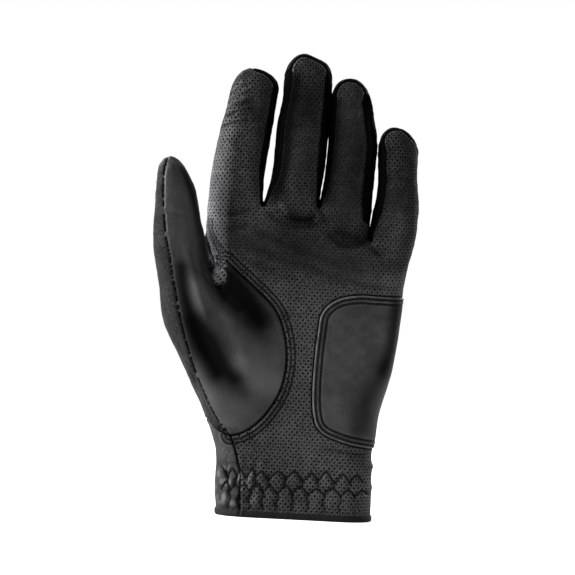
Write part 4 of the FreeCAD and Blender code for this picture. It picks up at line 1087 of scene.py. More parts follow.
# painted shade: the left side of each inner finger is darkened as if it falls into shade
for i, (f, a0, a1, lo_) in enumerate((("middle", 6.2, 11.5, 0.16), ("ring", 2.5, 10.0, 0.16), ("little", 1.5, 8.0, 0.22))):
    own = (DIG == FN.index(f) + 2) & (z_ > KN[f] - 8)
    zb = np.arange(KN[f] - 10, TIP[f] + 1, 3.0)
    xl = np.array([x_[own & (np.abs(z_ - zz) < 2.5)].min() if (own & (np.abs(z_ - zz) < 2.5)).any() else np.nan for zz in zb])
    ok_ = ~np.isnan(xl)
    dl = x_ - np.interp(z_, zb[ok_], xl[ok_])
    fade_ = smooth(KN[f] - 6, KN[f] + 6, z_) * smooth(TIP[f] - 3, TIP[f] - 14, z_)
    PAINTED_LIGHT_AND_TONE = np.where(own, PAINTED_LIGHT_AND_TONE * (1 - (1 - lo_) * (1 - smooth(a0, a1, dl)) * fade_ * is_front), PAINTED_LIGHT_AND_TONE)
# painted shade in a thin band along the outer edge of the index finger near its tip and along the little finger's outer
# edge
for f, sgn_, z_lo, g0 in (("index", 1, 186.0, 0.30), ("little", -1, 148.0, 0.45)):
    own = (DIG == FN.index(f) + 2) & (z_ > KN[f] - 8)
    zb = np.arange(KN[f] - 10, TIP[f] + 1, 3.0)
    ends_ = [x_[own & (np.abs(z_ - zz) < 2.0)] for zz in zb]
    xe = np.array([(e_.min() if sgn_ > 0 else e_.max()) if len(e_) else np.nan for e_ in ends_])
    ok_ = ~np.isnan(xe)
    de = sgn_ * (x_ - np.interp(z_, zb[ok_], xe[ok_]))
    PAINTED_LIGHT_AND_TONE = np.where(own, PAINTED_LIGHT_AND_TONE * (1 - (1 - g0) * smooth(1.7, 0.7, de) * smooth(z_lo, z_lo + 8, z_)), PAINTED_LIGHT_AND_TONE)
HOLES = np.ones(n_pts)


def press(points, width, keep_):
    """Painted shade: darkens the leather round a line and fades its holes there, as they fade in shade."""
    global HOLES, PAINTED_LIGHT_AND_TONE
    g_ = np.exp(-(far_dist(points) / width) ** 2) * is_front
    HOLES = HOLES * (1 - (1 - keep_) * g_)
    PAINTED_LIGHT_AND_TONE = PAINTED_LIGHT_AND_TONE * (1 - 0.20 * (1 - keep_) * g_)


# painted shade, with the holes faded, on the ring and middle fingers, the little finger and the upper palm
press([(20.0, 204.0), (20.0, 160.0)], 9.0, 0.15)
press([(-5.0, 204.0), (-5.5, 178.0)], 9.0, 0.30)
press([(44.0, 170.0), (44.0, 156.0)], 7.0, 0.45)
press([(-26.0, 138.0), (0.0, 132.0), (26.0, 124.0)], 10.0, 0.35)
press([(-26.0, 206.0), (-25.0, 190.0)], 5.0, 0.4)
# painted light and shade by height, everywhere but the thumb
PAINTED_LIGHT_AND_TONE = np.where(~on_thumb, PAINTED_LIGHT_AND_TONE * np.interp(z_, [0, 20, 40, 60, 120, 160, 200], [0.92, 0.85, 0.92, 0.84, 0.90, 0.88, 0.80]), PAINTED_LIGHT_AND_TONE)
# painted glints: bright flecks on the wrist's left side, with painted shade between them
w_c = (x_ < -18) & (z_ < 27) & (fr > 0.2)
painted_glint = np.clip(noise(V * [1.0, 1.0, 0.6], 2.2, 24.0) - 0.05, 0, 1) * smooth(26.5, 22, z_) * smooth(4.5, 8, z_)
PAINTED_LIGHT_AND_TONE = np.where(w_c, PAINTED_LIGHT_AND_TONE * (1.0 + smooth(-14, -30, x_) * (8.0 * painted_glint * smooth(0.15, -0.25, SV) * (0.3 + 0.7 * smooth(-41, -36, x_)) - 0.30)), PAINTED_LIGHT_AND_TONE)
# painted shade on the lower left of the hand, above the wrist
w_c = (x_ < -29) & (z_ > 22) & (z_ < 44) & (fr > 0.2)
PAINTED_LIGHT_AND_TONE = np.where(w_c, PAINTED_LIGHT_AND_TONE * 0.72, PAINTED_LIGHT_AND_TONE)
# painted light and shade on the wrist and lower palm, a dark spot where the thumb seam ends, a brighter band on the
# index finger's outer side and shade below it
paint([(22.0, 18.0), (34.0, 16.0)], 12.0, 1.35)
paint([(-6.0, 34.0), (14.0, 32.0)], 10.0, 1.15)
paint([(-18.0, 52.0)], 9.0, 0.72)
paint([(-24.0, 36.0), (-10.0, 30.0)], 8.0, 0.74)
paint([(-38.3, 43.6), (-37.0, 42.6)], 1.6, 0.12)
paint([(-46.3, 148.0), (-45.8, 138.0), (-44.2, 131.0)], 4.5, 1.6)
paint([(-42.0, 119.5), (-41.0, 115.0)], 4.0, 0.6)
PAINTED_LIGHT_AND_TONE = np.clip(PAINTED_LIGHT_AND_TONE, 0.02, 22.0)
# painted highlight: a light line along the front leather's seam near each fingertip
near_tip = np.zeros(n_pts)
for i, f in enumerate(FN):
    near_tip = np.where(DIG == i + 2, smooth(TIP[f] - 13, TIP[f] - 7, z_), near_tip)
PAINTED_TIP_HIGHLIGHT = np.where(front_side, near_tip, 0.0)


# =============================================================================================
# 5. Materials
# =============================================================================================
class Nodes:
    def __init__(self, name):
        self.m = bpy.data.materials.new(name)
        self.m.use_nodes = True
        self.nt = self.m.node_tree
        self.nt.nodes.clear()
        self.out = self.nt.nodes.new("ShaderNodeOutputMaterial")
        self.b = self.nt.nodes.new("ShaderNodeBsdfPrincipled")
        self.link(self.b.outputs[0], self.out.inputs[0])

    def link(self, a, b):
        self.nt.links.new(a, b)

    def put(self, sock, v):
        if hasattr(v, "is_linked") or hasattr(v, "links"):
            self.link(v, sock)
        else:
            sock.default_value = v

    def math(self, op, a, b=0.0, c=0.0):
        n = self.nt.nodes.new("ShaderNodeMath")
        n.operation = op
        for i, v in enumerate((a, b, c)):
            self.put(n.inputs[i], v)
        return n.outputs[0]

    def noise(self, vec, scale, detail=3.0, rough=0.5, dist=0.0):
        n = self.nt.nodes.new("ShaderNodeTexNoise")
        self.link(vec, n.inputs["Vector"])
        n.inputs["Scale"].default_value = scale
        n.inputs["Detail"].default_value = detail
        n.inputs["Roughness"].default_value = rough
        n.inputs["Distortion"].default_value = dist
        return n.outputs[0]

    def voronoi(self, vec, scale, feature="F1", rand=1.0):
        n = self.nt.nodes.new("ShaderNodeTexVoronoi")
        n.feature = feature
        self.link(vec, n.inputs["Vector"])
        n.inputs["Scale"].default_value = scale
        n.inputs["Randomness"].default_value = rand
        return n.outputs["Distance"]

    def ramp(self, v, a, b, lo=0.0, hi=1.0):
        n = self.nt.nodes.new("ShaderNodeMapRange")
        n.interpolation_type = "SMOOTHSTEP"
        n.clamp = True
        self.put(n.inputs["Value"], v)
        for k, x in (("From Min", a), ("From Max", b), ("To Min", lo), ("To Max", hi)):
            n.inputs[k].default_value = x
        return n.outputs["Result"]

    def mix(self, f, a, b):
        n = self.nt.nodes.new("ShaderNodeMix")
        n.data_type = "RGBA"
        self.put(n.inputs[0], f)
        for i, v in ((6, a), (7, b)):
            if hasattr(v, "links"):
                self.link(v, n.inputs[i])
            else:
                n.inputs[i].default_value = (v[0], v[1], v[2], 1.0)
        return n.outputs[2]

    def obj(self):
        return self.nt.nodes.new("ShaderNodeTexCoord").outputs["Object"]

    def uv(self):
        n = self.nt.nodes.new("ShaderNodeUVMap")
        n.uv_map = "panel"
        sx = self.nt.nodes.new("ShaderNodeSeparateXYZ")
        self.link(n.outputs[0], sx.inputs[0])
        return n.outputs[0], sx.outputs[0], sx.outputs[1]

    def attr(self, name):
        n = self.nt.nodes.new("ShaderNodeAttribute")
        n.attribute_type = "GEOMETRY"
        n.attribute_name = name
        return n.outputs["Fac"]

    def seams(self, col, spec, extra=None):
        """Seam lines and stitch rows darkened, with the painted crease shade of the fold attribute, painted highlights
        by the fingertip seams and beside the stitch rows, and the tone attribute's painted light and shade.
        """
        e, r, c, t, l = (self.attr(k) for k in ("seam_distance", "row_distance", "fold", "tone", "lip"))
        line = self.ramp(e, 0.92, 0.30)
        row = self.math("MULTIPLY", self.ramp(r, 0.80, 0.28), 0.85)
        # the fold attribute holds painted crease shade
        dark = self.math("MAXIMUM", self.math("MAXIMUM", line, row), c)
        # painted highlights: a light line by the seam near the fingertips, and light bands beside the stitch rows
        lip = self.math("MULTIPLY", self.math("MULTIPLY", self.ramp(e, 0.55, 0.80), self.ramp(e, 1.35, 0.95)), l)
        edge = self.math("MULTIPLY", self.ramp(r, 0.75, 1.05), self.ramp(r, 1.75, 1.20))
        keep = self.math("SUBTRACT", 1.0, self.math("MULTIPLY", dark, 0.95))
        keep = self.math("MULTIPLY", keep, self.math("ADD", 1.0, self.math("MULTIPLY", edge, 0.30)))
        k = self.math("MULTIPLY", keep, self.math("ADD", t, self.math("MULTIPLY", lip, 2.2)))
        if extra is not None:
            k = self.math("MULTIPLY", k, extra)
        vm = self.nt.nodes.new("ShaderNodeVectorMath")
        vm.operation = "SCALE"
        self.link(col, vm.inputs[0])
        self.link(k, vm.inputs["Scale"])
        sp = self.math("MINIMUM", self.math("MULTIPLY", self.math("MULTIPLY", spec, 1.0), k), 1.0)
        return vm.outputs[0], sp

    def bump(self, height, strength, dist, prev=None):
        n = self.nt.nodes.new("ShaderNodeBump")
        n.inputs["Strength"].default_value = strength
        n.inputs["Distance"].default_value = dist
        self.link(height, n.inputs["Height"])
        if prev is not None:
            self.link(prev, n.inputs["Normal"])
        return n.outputs[0]

    def set(self, **kw):
        for k, v in kw.items():
            self.put(self.b.inputs[k.replace("_", " ")], v)
        return self.m


def leather(name, dark, light, rough, perforated=False, grain=0.5, cell=1500.0, sheen=0.0, spec=0.5, coat=0.0, wear=0.3, speck=0.3, speck_scale=1250.0):
    n = Nodes(name)
    o = n.obj()
    _, u, v = n.uv()
    big = n.noise(o, 45.0, 4.0, 0.55)
    mid_ = n.noise(o, 240.0, 4.0, 0.6)
    fine = n.noise(o, 1900.0, 3.0, 0.6)
    cells = n.voronoi(o, cell, "DISTANCE_TO_EDGE")
    tone = n.math("ADD", n.math("MULTIPLY", big, 0.6), n.math("MULTIPLY", mid_, 0.4))
    col = n.mix(n.ramp(tone, 0.36, 0.64), dark, light)
    crack = n.ramp(cells, 0.0, 0.16)
    col = n.mix(n.math("MULTIPLY", n.math("SUBTRACT", 1.0, crack), 0.35 * grain), col, [c * 0.35 for c in dark])
    geo = n.nt.nodes.new("ShaderNodeNewGeometry")
    worn = n.ramp(n.math("ADD", geo.outputs["Pointiness"], n.math("MULTIPLY", mid_, 0.02)), 0.53, 0.58)
    col = n.mix(n.math("MULTIPLY", worn, wear), col, [min(1, c * 2.6 + 0.01) for c in light])
    rg_ = n.math("ADD", n.ramp(mid_, 0.3, 0.7, rough - 0.06, rough + 0.07), n.math("MULTIPLY", worn, -0.05))
    folds = n.noise(o, 620.0, 3.0, 0.65, 0.8)
    normal = n.bump(folds, 0.85 * grain, 0.00038)
    sn = n.noise(o, speck_scale, 2.0, 0.75)
    extra = n.ramp(sn, 0.36, 0.64, 1 - speck, 1 + speck * 1.15)
    normal = n.bump(n.math("ADD", n.math("MULTIPLY", crack, 0.7), n.math("MULTIPLY", fine, 0.5)), 0.75 * grain, 0.00016, normal)
    if perforated:
        wob = n.noise(o, 260.0, 2.0)
        uu = n.math("ADD", u, n.math("MULTIPLY", n.math("SUBTRACT", wob, 0.5), 1.1))
        vv = n.math("ADD", v, n.math("MULTIPLY", n.math("SUBTRACT", mid_, 0.5), 0.9))
        pu, pv = 2.6, 3.1

        def lattice(off):
            a_ = n.math("SUBTRACT", n.math("FRACT", n.math("ADD", n.math("DIVIDE", uu, pu), off)), 0.5)
            b_ = n.math("SUBTRACT", n.math("FRACT", n.math("ADD", n.math("DIVIDE", vv, pv), off)), 0.5)
            a_, b_ = n.math("MULTIPLY", a_, pu), n.math("MULTIPLY", b_, pv)
            return n.math("SQRT", n.math("ADD", n.math("MULTIPLY", a_, a_), n.math("MULTIPLY", b_, b_)))

        d_ = n.math("MINIMUM", lattice(0.0), lattice(0.5))
        open_ = n.ramp(n.noise(o, 130.0, 3.0, 0.6), 0.34, 0.62, 0.68, 1.0)
        open_ = n.math("MULTIPLY", open_, n.attr("holes"))
        hole = n.math("MULTIPLY", n.ramp(d_, 0.66, 0.40), open_)
        lipm = n.math("MULTIPLY", n.ramp(d_, 0.52, 0.70), n.ramp(d_, 1.12, 0.74))
        pits = hole
        rg_ = n.math("ADD", rg_, n.math("MULTIPLY", hole, 0.4))
        normal = n.bump(n.math("SUBTRACT", n.math("MULTIPLY", lipm, 0.45), hole), 0.85, 0.00025, normal)
        # painted highlight on the raised lip round each open hole
        extra = n.math("MULTIPLY", extra, n.math("ADD", 1.0, n.math("MULTIPLY", n.math("MULTIPLY", lipm, open_), 0.85)))
        spc = spec
    else:
        spc, pits = spec, None
    col, spc = n.seams(col, spc, extra)
    if pits is not None:
        col = n.mix(pits, col, (0.0012, 0.0012, 0.0014))
        spc = n.math("MULTIPLY", n.math("SUBTRACT", 1.0, n.math("MULTIPLY", pits, 0.92)), spc)
    n.set(Base_Color=col, Roughness=rg_, Specular_IOR_Level=spc, Normal=normal, Sheen_Weight=sheen, Sheen_Roughness=0.5, Coat_Weight=coat, Coat_Roughness=0.35)
    return n.m


def cloth(name, dark, light, rough, pitch=0.45, depth=0.00012, spec=0.25, sheen=0.3, mode="weave"):
    n = Nodes(name)
    o = n.obj()
    _, u, v = n.uv()
    big = n.noise(o, 120.0, 3.0)
    k = 2 * math.pi / pitch
    su = n.math("SINE", n.math("MULTIPLY", u, k))
    sv = n.math("SINE", n.math("MULTIPLY", v, k))
    if mode == "weave":
        hgt = n.math("MULTIPLY", su, sv)
    elif mode == "rib":
        hgt = n.math("ADD", n.math("MULTIPLY", sv, 0.8), n.math("MULTIPLY", su, 0.2))
    elif mode == "loop":
        hgt = n.noise(o, 2600.0, 4.0, 0.75, 1.2)
    else:
        hgt = n.math("MAXIMUM", n.math("ADD", su, -0.2), n.math("ADD", sv, -0.2))
    fuzz = n.noise(o, 3200.0, 2.0)
    h_ = n.math("ADD", n.math("MULTIPLY", hgt, 0.5), n.math("MULTIPLY", fuzz, 0.5))
    col = n.mix(n.ramp(n.math("ADD", n.math("MULTIPLY", h_, 0.6), n.math("MULTIPLY", big, 0.4)), 0.1, 0.7), dark, light)
    n.set(Base_Color=col, Roughness=n.ramp(big, 0.3, 0.7, rough - 0.05, rough + 0.08), Specular_IOR_Level=spec,
          Normal=n.bump(h_, 0.6, depth), Sheen_Weight=sheen, Sheen_Roughness=0.5)
    return n.m


M = {
    "perf": leather("perforated_leather", (0.0105, 0.0105, 0.0115), (0.0185, 0.0185, 0.0195), 0.50, True, 0.7, 1700.0, 0.03, 0.55, wear=0.25, speck=0.42),
    "smooth": leather("smooth_leather", (0.0150, 0.0150, 0.0158), (0.0215, 0.0215, 0.0225), 0.46, False, 0.22, 2400.0, 0.05, 0.50, 0.04, wear=0.2, speck=0.10),
    "grain": leather("grain_leather", (0.0135, 0.0135, 0.0145), (0.0260, 0.0260, 0.0275), 0.44, False, 1.3, 1050.0, 0.03, 0.60, wear=0.35, speck=0.45, speck_scale=1150.0),
    "back": leather("back_leather", (0.0125, 0.0125, 0.0135), (0.0225, 0.0225, 0.0240), 0.47, False, 0.95, 1300.0, 0.03, 0.55, wear=0.3, speck=0.32),
    "stretch": cloth("stretch_fabric", (0.0003, 0.0003, 0.0004), (0.0011, 0.0011, 0.0012), 0.75, 0.42, 0.00008, 0.030, 0.0, "rib"),
    "lining": cloth("lining", (0.010, 0.010, 0.011), (0.022, 0.022, 0.024), 0.85, 0.5, 0.00006, 0.2, 0.2, "loop"),
    "tape": cloth("binding_tape", (0.0018, 0.0018, 0.0020), (0.0062, 0.0062, 0.0068), 0.60, 0.55, 0.00010, 0.22, 0.05, "weave"),
    "elastic": cloth("elastic_tape", (0.008, 0.008, 0.009), (0.024, 0.024, 0.026), 0.70, 0.9, 0.00025, 0.3, 0.2, "rib"),
    "loop": cloth("loop_tape", (0.004, 0.004, 0.0045), (0.020, 0.020, 0.022), 0.90, 0.6, 0.00035, 0.15, 0.5, "loop"),
    "hook": cloth("hook_tape", (0.004, 0.004, 0.0045), (0.022, 0.022, 0.024), 0.55, 1.1, 0.00030, 0.45, 0.0, "grid"),
    "thread": cloth("sewing_thread", (0.0007, 0.0007, 0.0008), (0.0030, 0.0030, 0.0033), 0.60, 0.35, 0.00006, 0.16, 0.06, "rib"),
}

# =============================================================================================
# 6. Pieces
# =============================================================================================
# flat pattern coordinates: the plane of the palm, stretched where the surface turns away from it
dgx, dgz = np.gradient(blur(D, 2.0), G)
Dv = np.clip(look(D, VL[:, 0], VL[:, 2]), 0, None)
Av = look(A, VL[:, 0], VL[:, 2])
g2 = np.stack([look(dgx, VL[:, 0], VL[:, 2]), look(dgz, VL[:, 0], VL[:, 2])], 1)
g2 /= np.maximum(np.linalg.norm(g2, axis=1)[:, None], 0.3)
dd = np.minimum(Dv, Av)
extra = Av * (math.pi / 2 - np.arccos(np.clip(1 - dd / Av, 0, 1))) - (Av - dd)
UV = np.stack([V[:, 0], V[:, 2]], 1) - g2 * extra[:, None]
UV[:, 0] += np.where(SV > 0.3, 300.0, 0.0)

SCALE = 0.001
made = {}


def to_object(name, verts, faces, mats, mat_index=None, normals=None, uv=None, attrs=None):
    me = bpy.data.meshes.new(name)
    faces = [np.asarray(f) for f in faces if len(f)]
    n_loops = sum(f.size for f in faces)
    n_faces = sum(len(f) for f in faces)
    me.vertices.add(len(verts))
    me.vertices.foreach_set("co", (np.asarray(verts) * SCALE).astype(np.float32).ravel())
    me.loops.add(n_loops)
    loops = np.concatenate([f.ravel() for f in faces]).astype(np.int32)
    me.loops.foreach_set("vertex_index", loops)
    sizes = np.concatenate([np.full(len(f), f.shape[1]) for f in faces]).astype(np.int32)
    starts = np.concatenate([[0], np.cumsum(sizes)[:-1]]).astype(np.int32)
    me.polygons.add(n_faces)
    me.polygons.foreach_set("loop_start", starts)
    me.polygons.foreach_set("loop_total", sizes)
    if mat_index is not None:
        me.polygons.foreach_set("material_index", np.asarray(mat_index, np.int32))
    me.polygons.foreach_set("use_smooth", np.ones(n_faces, bool))
    if uv is not None:
        lay = me.uv_layers.new(name="panel")
        lay.data.foreach_set("uv", np.asarray(uv, np.float32)[loops].ravel())
    base = {"seam_distance": 9.0, "row_distance": 9.0, "fold": 0.0, "tone": 1.0, "lip": 0.0, "holes": 1.0}
    for k_, dv in base.items():
        at_ = me.attributes.new(k_, "FLOAT", "POINT")
        val = np.full(len(verts), dv) if not attrs or k_ not in attrs else np.asarray(attrs[k_], float)
        at_.data.foreach_set("value", val.astype(np.float32))
    me.update(calc_edges=True)
    me.validate(clean_customdata=False)
    if normals is not None:
        me.normals_split_custom_set(np.asarray(normals, float).tolist())
    for m_ in mats:
        me.materials.append(M[m_])
    ob = bpy.data.objects.new(name, me)
    bpy.context.scene.collection.objects.link(ob)
    made[name] = ob
    return ob


def shell(name, mask, mats, out_p, in_p, nrm, uv=UV, attrs=None):
    """A closed panel: its outer face, its inner face and the cut edge between them."""
    t = T[mask]
    ids, inv = np.unique(t, return_inverse=True)
    t = inv.reshape(-1, 3)
    n = len(ids)
    po, pi_, nn, uu = out_p[ids], in_p[ids], nrm[ids], uv[ids]
    e = np.concatenate([t[:, [0, 1]], t[:, [1, 2]], t[:, [2, 0]]])
    key = e[:, 0].astype(np.int64) * n + e[:, 1]
    rkey = e[:, 1].astype(np.int64) * n + e[:, 0]
    edge = e[~np.isin(key, rkey)]
    walls = np.stack([edge[:, 1], edge[:, 0], edge[:, 0] + n, edge[:, 1] + n], 1)
    verts = np.concatenate([po, pi_])
    inner = t[:, ::-1] + n
    wn = np.cross(verts[walls[:, 1]] - verts[walls[:, 0]], verts[walls[:, 3]] - verts[walls[:, 0]])
    wn /= np.maximum(np.linalg.norm(wn, axis=1)[:, None], 1e-9)
    loopn = np.concatenate([nn[t.ravel()], -nn[t[:, ::-1].ravel()], np.repeat(wn, 4, 0)])
    mi = np.concatenate([np.zeros(len(t)), np.ones(len(t)), np.zeros(len(walls))])
    at = {k_: np.concatenate([v_[ids], v_[ids] * 0 + (9.0 if "distance" in k_ else (0.5 if k_ == "tone" else 0.0))]) for k_, v_ in (attrs or {}).items()}
    return to_object(name, verts, [t, inner, walls], mats, mi, loopn, np.concatenate([uu, uu]), at)


THICK = 0.8
NS = point_normals(V, T)
IN_P = DV - NS * THICK
IN_P[:, 2] = np.where((TAGS & TAG_RIM) > 0, 0.0, IN_P[:, 2])


def panel(name, label, mats, stands):
    mk = LAB == label
    if mk.sum() < 30:
        print("no", label, mk.sum())
        return None
    tone = PAINTED_LIGHT_AND_TONE
    # painted shade: the back leather of a finger is darkened towards the finger's sides
    if label.endswith("_back") and not label.startswith("thumb"):
        tone = PAINTED_LIGHT_AND_TONE * (0.06 + 0.94 * smooth(0.15, 0.65, SV))
    ob = shell(name, mk, mats, DV, IN_P, ND, attrs={"seam_distance": EDGE, "row_distance": ROW, "fold": painted_crease_shade, "tone": tone, "lip": PAINTED_TIP_HIGHLIGHT, "holes": HOLES})
    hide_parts(*stands)
    return ob


palm = panel("palm_leather", "palm", ["perf", "lining"], ["palm_panel"])
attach(palm, "hand")
back = panel("back_leather", "back", ["back", "lining"], ["back_panel"])
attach(back, "hand")
webs = panel("finger_webs", "webs", ["stretch", "lining"], [])
if webs:
    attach(webs, "hand")
tfp = panel("thumb_front_leather", "thumb_front", ["smooth", "lining"], ["thumb_front_base", "thumb_front"])
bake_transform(tfp)
tbp = panel("thumb_back_leather", "thumb_back", ["grain", "lining"], ["thumb_back_base", "thumb_back"])
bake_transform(tbp)
for f in FN:
    for sgm in ("lower", "upper"):
        for part_ in ("front", "back", "left_fourchette", "right_fourchette"):
            lab = "%s_%s_%s" % (f, sgm, part_)
            if lab not in frame["nodes"]:
                if (LAB == lab).any():
                    LAB[LAB == lab] = "%s_%s_back" % (f, sgm)
for f in FN:
    for sgm in ("lower", "upper"):
        for part_ in ("front", "back", "left_fourchette", "right_fourchette"):
            lab = "%s_%s_%s" % (f, sgm, part_)
            if lab not in frame["nodes"]:
                continue
            mats = {"front": ["perf", "lining"], "back": ["back", "lining"]}.get(part_, ["stretch", "lining"])
            ob = panel(lab + "_leather" if "fourchette" not in lab else lab + "_fabric", lab, mats,
                       [lab])
            if ob is None:
                continue
            if sgm == "lower":
                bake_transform(ob)
            else:
                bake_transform(ob)
note("panels")

bvh = BVHTree.FromPolygons([tuple(p) for p in DV], [tuple(t) for t in T.tolist()])


def on(x, z, front_=True, lift=0.0):
    """The point of the outer surface seen from the palm side (or the back) at x, z, and its normal."""
    if front_:
        hit = bvh.ray_cast(Vector((x, -60, z)), Vector((0, 1, 0)))
    else:
        hit = bvh.ray_cast(Vector((x, 60, z)), Vector((0, -1, 0)))
    if hit[0] is None:
        return None
    p, nrm = np.array(hit[0]), np.array(hit[1])
    if (nrm[1] > 0) == front_:
        nrm = -nrm
    return p + nrm * lift, nrm


def arc_points(line, step):
    L = np.concatenate([[0], np.cumsum(np.linalg.norm(np.diff(line, axis=0), axis=1))])
    n = max(2, int(L[-1] / step))
    q = np.linspace(0, L[-1], n + 1)
    return np.stack([np.interp(q, L, line[:, 0]), np.interp(q, L, line[:, 1])], 1)


def offset(line, d):
    t = np.gradient(line, axis=0)
    t /= np.maximum(np.linalg.norm(t, axis=1)[:, None], 1e-9)
    return line + np.stack([-t[:, 1], t[:, 0]], 1) * d


def stitches(name, lines, body, front_=True, pitch=2.5, length=1.75, r=0.23, surf=None, mat="thread", lift=0.02):
    """A row of separate lock stitches: each a short soft capsule that dips into its needle holes."""
    V_, F_, n0 = [], [], 0
    K, R_ = 8, 6
    for line in lines:
        pts_ = arc_points(np.asarray(line, float), pitch)
        for a_, b_ in zip(pts_[:-1], pts_[1:]):
            m_ = (a_ + b_) / 2
            h_ = (b_ - a_) / max(np.linalg.norm(b_ - a_), 1e-9) * length / 2
            pp = [(surf or on)(q[0], q[1], front_) for q in (m_ - h_, m_, m_ + h_)]
            if any(p is None for p in pp):
                continue
            p0, p1 = pp[0][0], pp[2][0]
            nn = pp[1][1]
            ax_ = p1 - p0
            L_ = np.linalg.norm(ax_)
            if L_ > length * 2.2 or L_ < 0.3:
                continue
            ax_ /= L_
            nn = nn - ax_ * (nn @ ax_)
            nn /= np.linalg.norm(nn)
            sd = np.cross(ax_, nn)
            mid3 = pp[1][0]
            ts = np.linspace(0, 1, K)
            ring_ = []
            for t_ in ts:
                rad_ = r * (1 - abs(2 * t_ - 1) ** 3.2) ** 0.6 + 0.015
                cpt = p0 * (1 - t_) + p1 * t_
                bow = 4 * t_ * (1 - t_)
                cpt = cpt + nn * (lift + 0.10 * bow - 0.10 * (1 - bow)) + (mid3 - (p0 + p1) / 2) * bow
                ang = np.linspace(0, 2 * math.pi, R_, endpoint=False)
                ring_.append(cpt + rad_ * (np.cos(ang)[:, None] * nn + np.sin(ang)[:, None] * sd))
            vv = np.concatenate(ring_)
            V_.append(vv)
            q = []
            for i in range(K - 1):
                for j in range(R_):
                    q.append((n0 + i * R_ + j, n0 + (i + 1) * R_ + j, n0 + (i + 1) * R_ + (j + 1) % R_, n0 + i * R_ + (j + 1) % R_))
            F_.append(np.array(q))
            c0_, c1_ = n0 + len(vv), n0 + len(vv) + 1
            V_.append(np.stack([ring_[0].mean(0), ring_[-1].mean(0)]))
            cap = [(c0_, n0 + j, n0 + (j + 1) % R_) for j in range(R_)]
            cap += [(c1_, n0 + (K - 1) * R_ + (j + 1) % R_, n0 + (K - 1) * R_ + j) for j in range(R_)]
            F_.append(np.array(cap))
            n0 += len(vv) + 2
    verts = np.concatenate(V_)
    quads_ = np.concatenate([f_ for f_ in F_ if f_.shape[1] == 4])
    tris = np.concatenate([f_ for f_ in F_ if f_.shape[1] == 3])
    uvs = np.stack([verts[:, 0] + verts[:, 2], verts[:, 1]], 1)
    ob = to_object(name, verts, [quads_, tris], [mat], None, None, uvs)
    if body:
        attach(ob, body)
    return ob


def tube(name, paths, r, mat, body, sides=7, flat=1.0):
    """Round cord along 3-D paths given as (points, normals)."""
    V_, F_, C_, n0 = [], [], [], 0
    for P_, N_ in paths:
        P_, N_ = np.asarray(P_), np.asarray(N_)
        t = np.gradient(P_, axis=0)
        t /= np.maximum(np.linalg.norm(t, axis=1)[:, None], 1e-9)
        n_ = N_ - t * (N_ * t).sum(1)[:, None]
        n_ /= np.maximum(np.linalg.norm(n_, axis=1)[:, None], 1e-9)
        s_ = np.cross(t, n_)
        ang = np.linspace(0, 2 * math.pi, sides, endpoint=False)
        rr = np.full(len(P_), r)
        rr[0] = rr[-1] = r * 0.4
        ring_ = P_[:, None, :] + rr[:, None, None] * (flat * np.cos(ang)[None, :, None] * n_[:, None, :] + np.sin(ang)[None, :, None] * s_[:, None, :])
        V_.append(ring_.reshape(-1, 3))
        i, j = np.meshgrid(np.arange(len(P_) - 1), np.arange(sides), indexing="ij")
        q = np.stack([n0 + i * sides + j, n0 + (i + 1) * sides + j, n0 + (i + 1) * sides + (j + 1) % sides, n0 + i * sides + (j + 1) % sides], -1).reshape(-1, 4)
        F_.append(q)
        c = n0 + len(P_) * sides
        V_.append(np.stack([P_[0], P_[-1]]))
        for k_ in range(sides):
            C_.append((c, n0 + k_, n0 + (k_ + 1) % sides))
            C_.append((c + 1, n0 + (len(P_) - 1) * sides + (k_ + 1) % sides, n0 + (len(P_) - 1) * sides + k_))
        n0 = c + 2
    verts = np.concatenate(V_)
    uvs = np.stack([verts[:, 0] + verts[:, 2], verts[:, 1]], 1)
    ob = to_object(name, verts, [np.concatenate(F_), np.array(C_)], [mat], None, None, uvs)
    if body:
        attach(ob, body)
    return ob


# twin rows beside the thumb's oval seam, on the palm leather
oval_c = catmull(THUMB_OVAL, 0.7)
side_sign = 1.0 if signed(thumb_front_poly, *offset(oval_c, 1.0)[len(oval_c) // 2][:, None].reshape(2, 1)) < 0 else -1.0
rows = [offset(oval_c, side_sign * 2.1)[4:-3], offset(oval_c, side_sign * 4.1)[8:-5]]
ob = stitches("thumb_seam_stitches", rows, "hand")
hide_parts("thumb_seam_thread")

# the heel patch: a second layer of smooth leather on the palm
hp_t = signed(heel_poly, C[:, 0], C[:, 2])
hmask = front & (hp_t > 0) & (tri_dig == 0) & (LAB == "palm")
lift_h = 0.62 * smooth(0.0, 0.7, np.clip(hp, 0, 9)) + 0.10
press = -0.30 * np.exp(-((hp - 1.6) / 0.45) ** 2) - 0.26 * np.exp(-((hp - 3.7) / 0.45) ** 2) + 0.16 * np.exp(-((hp - 0.6) / 0.4) ** 2) + 0.10 * np.exp(-((hp - 2.6) / 0.6) ** 2)
HP_OUT = DV + NS * (lift_h + press + 0.30)[:, None]
HP_IN = DV + NS * 0.05
h_n = point_normals(HP_OUT, T)
h_row = np.minimum(np.abs(hp - 1.6), np.abs(hp - 3.7))
h_nz = np.clip(0.5 + 0.9 * noise(V, 2.6, 31.0), 0, 1.3)
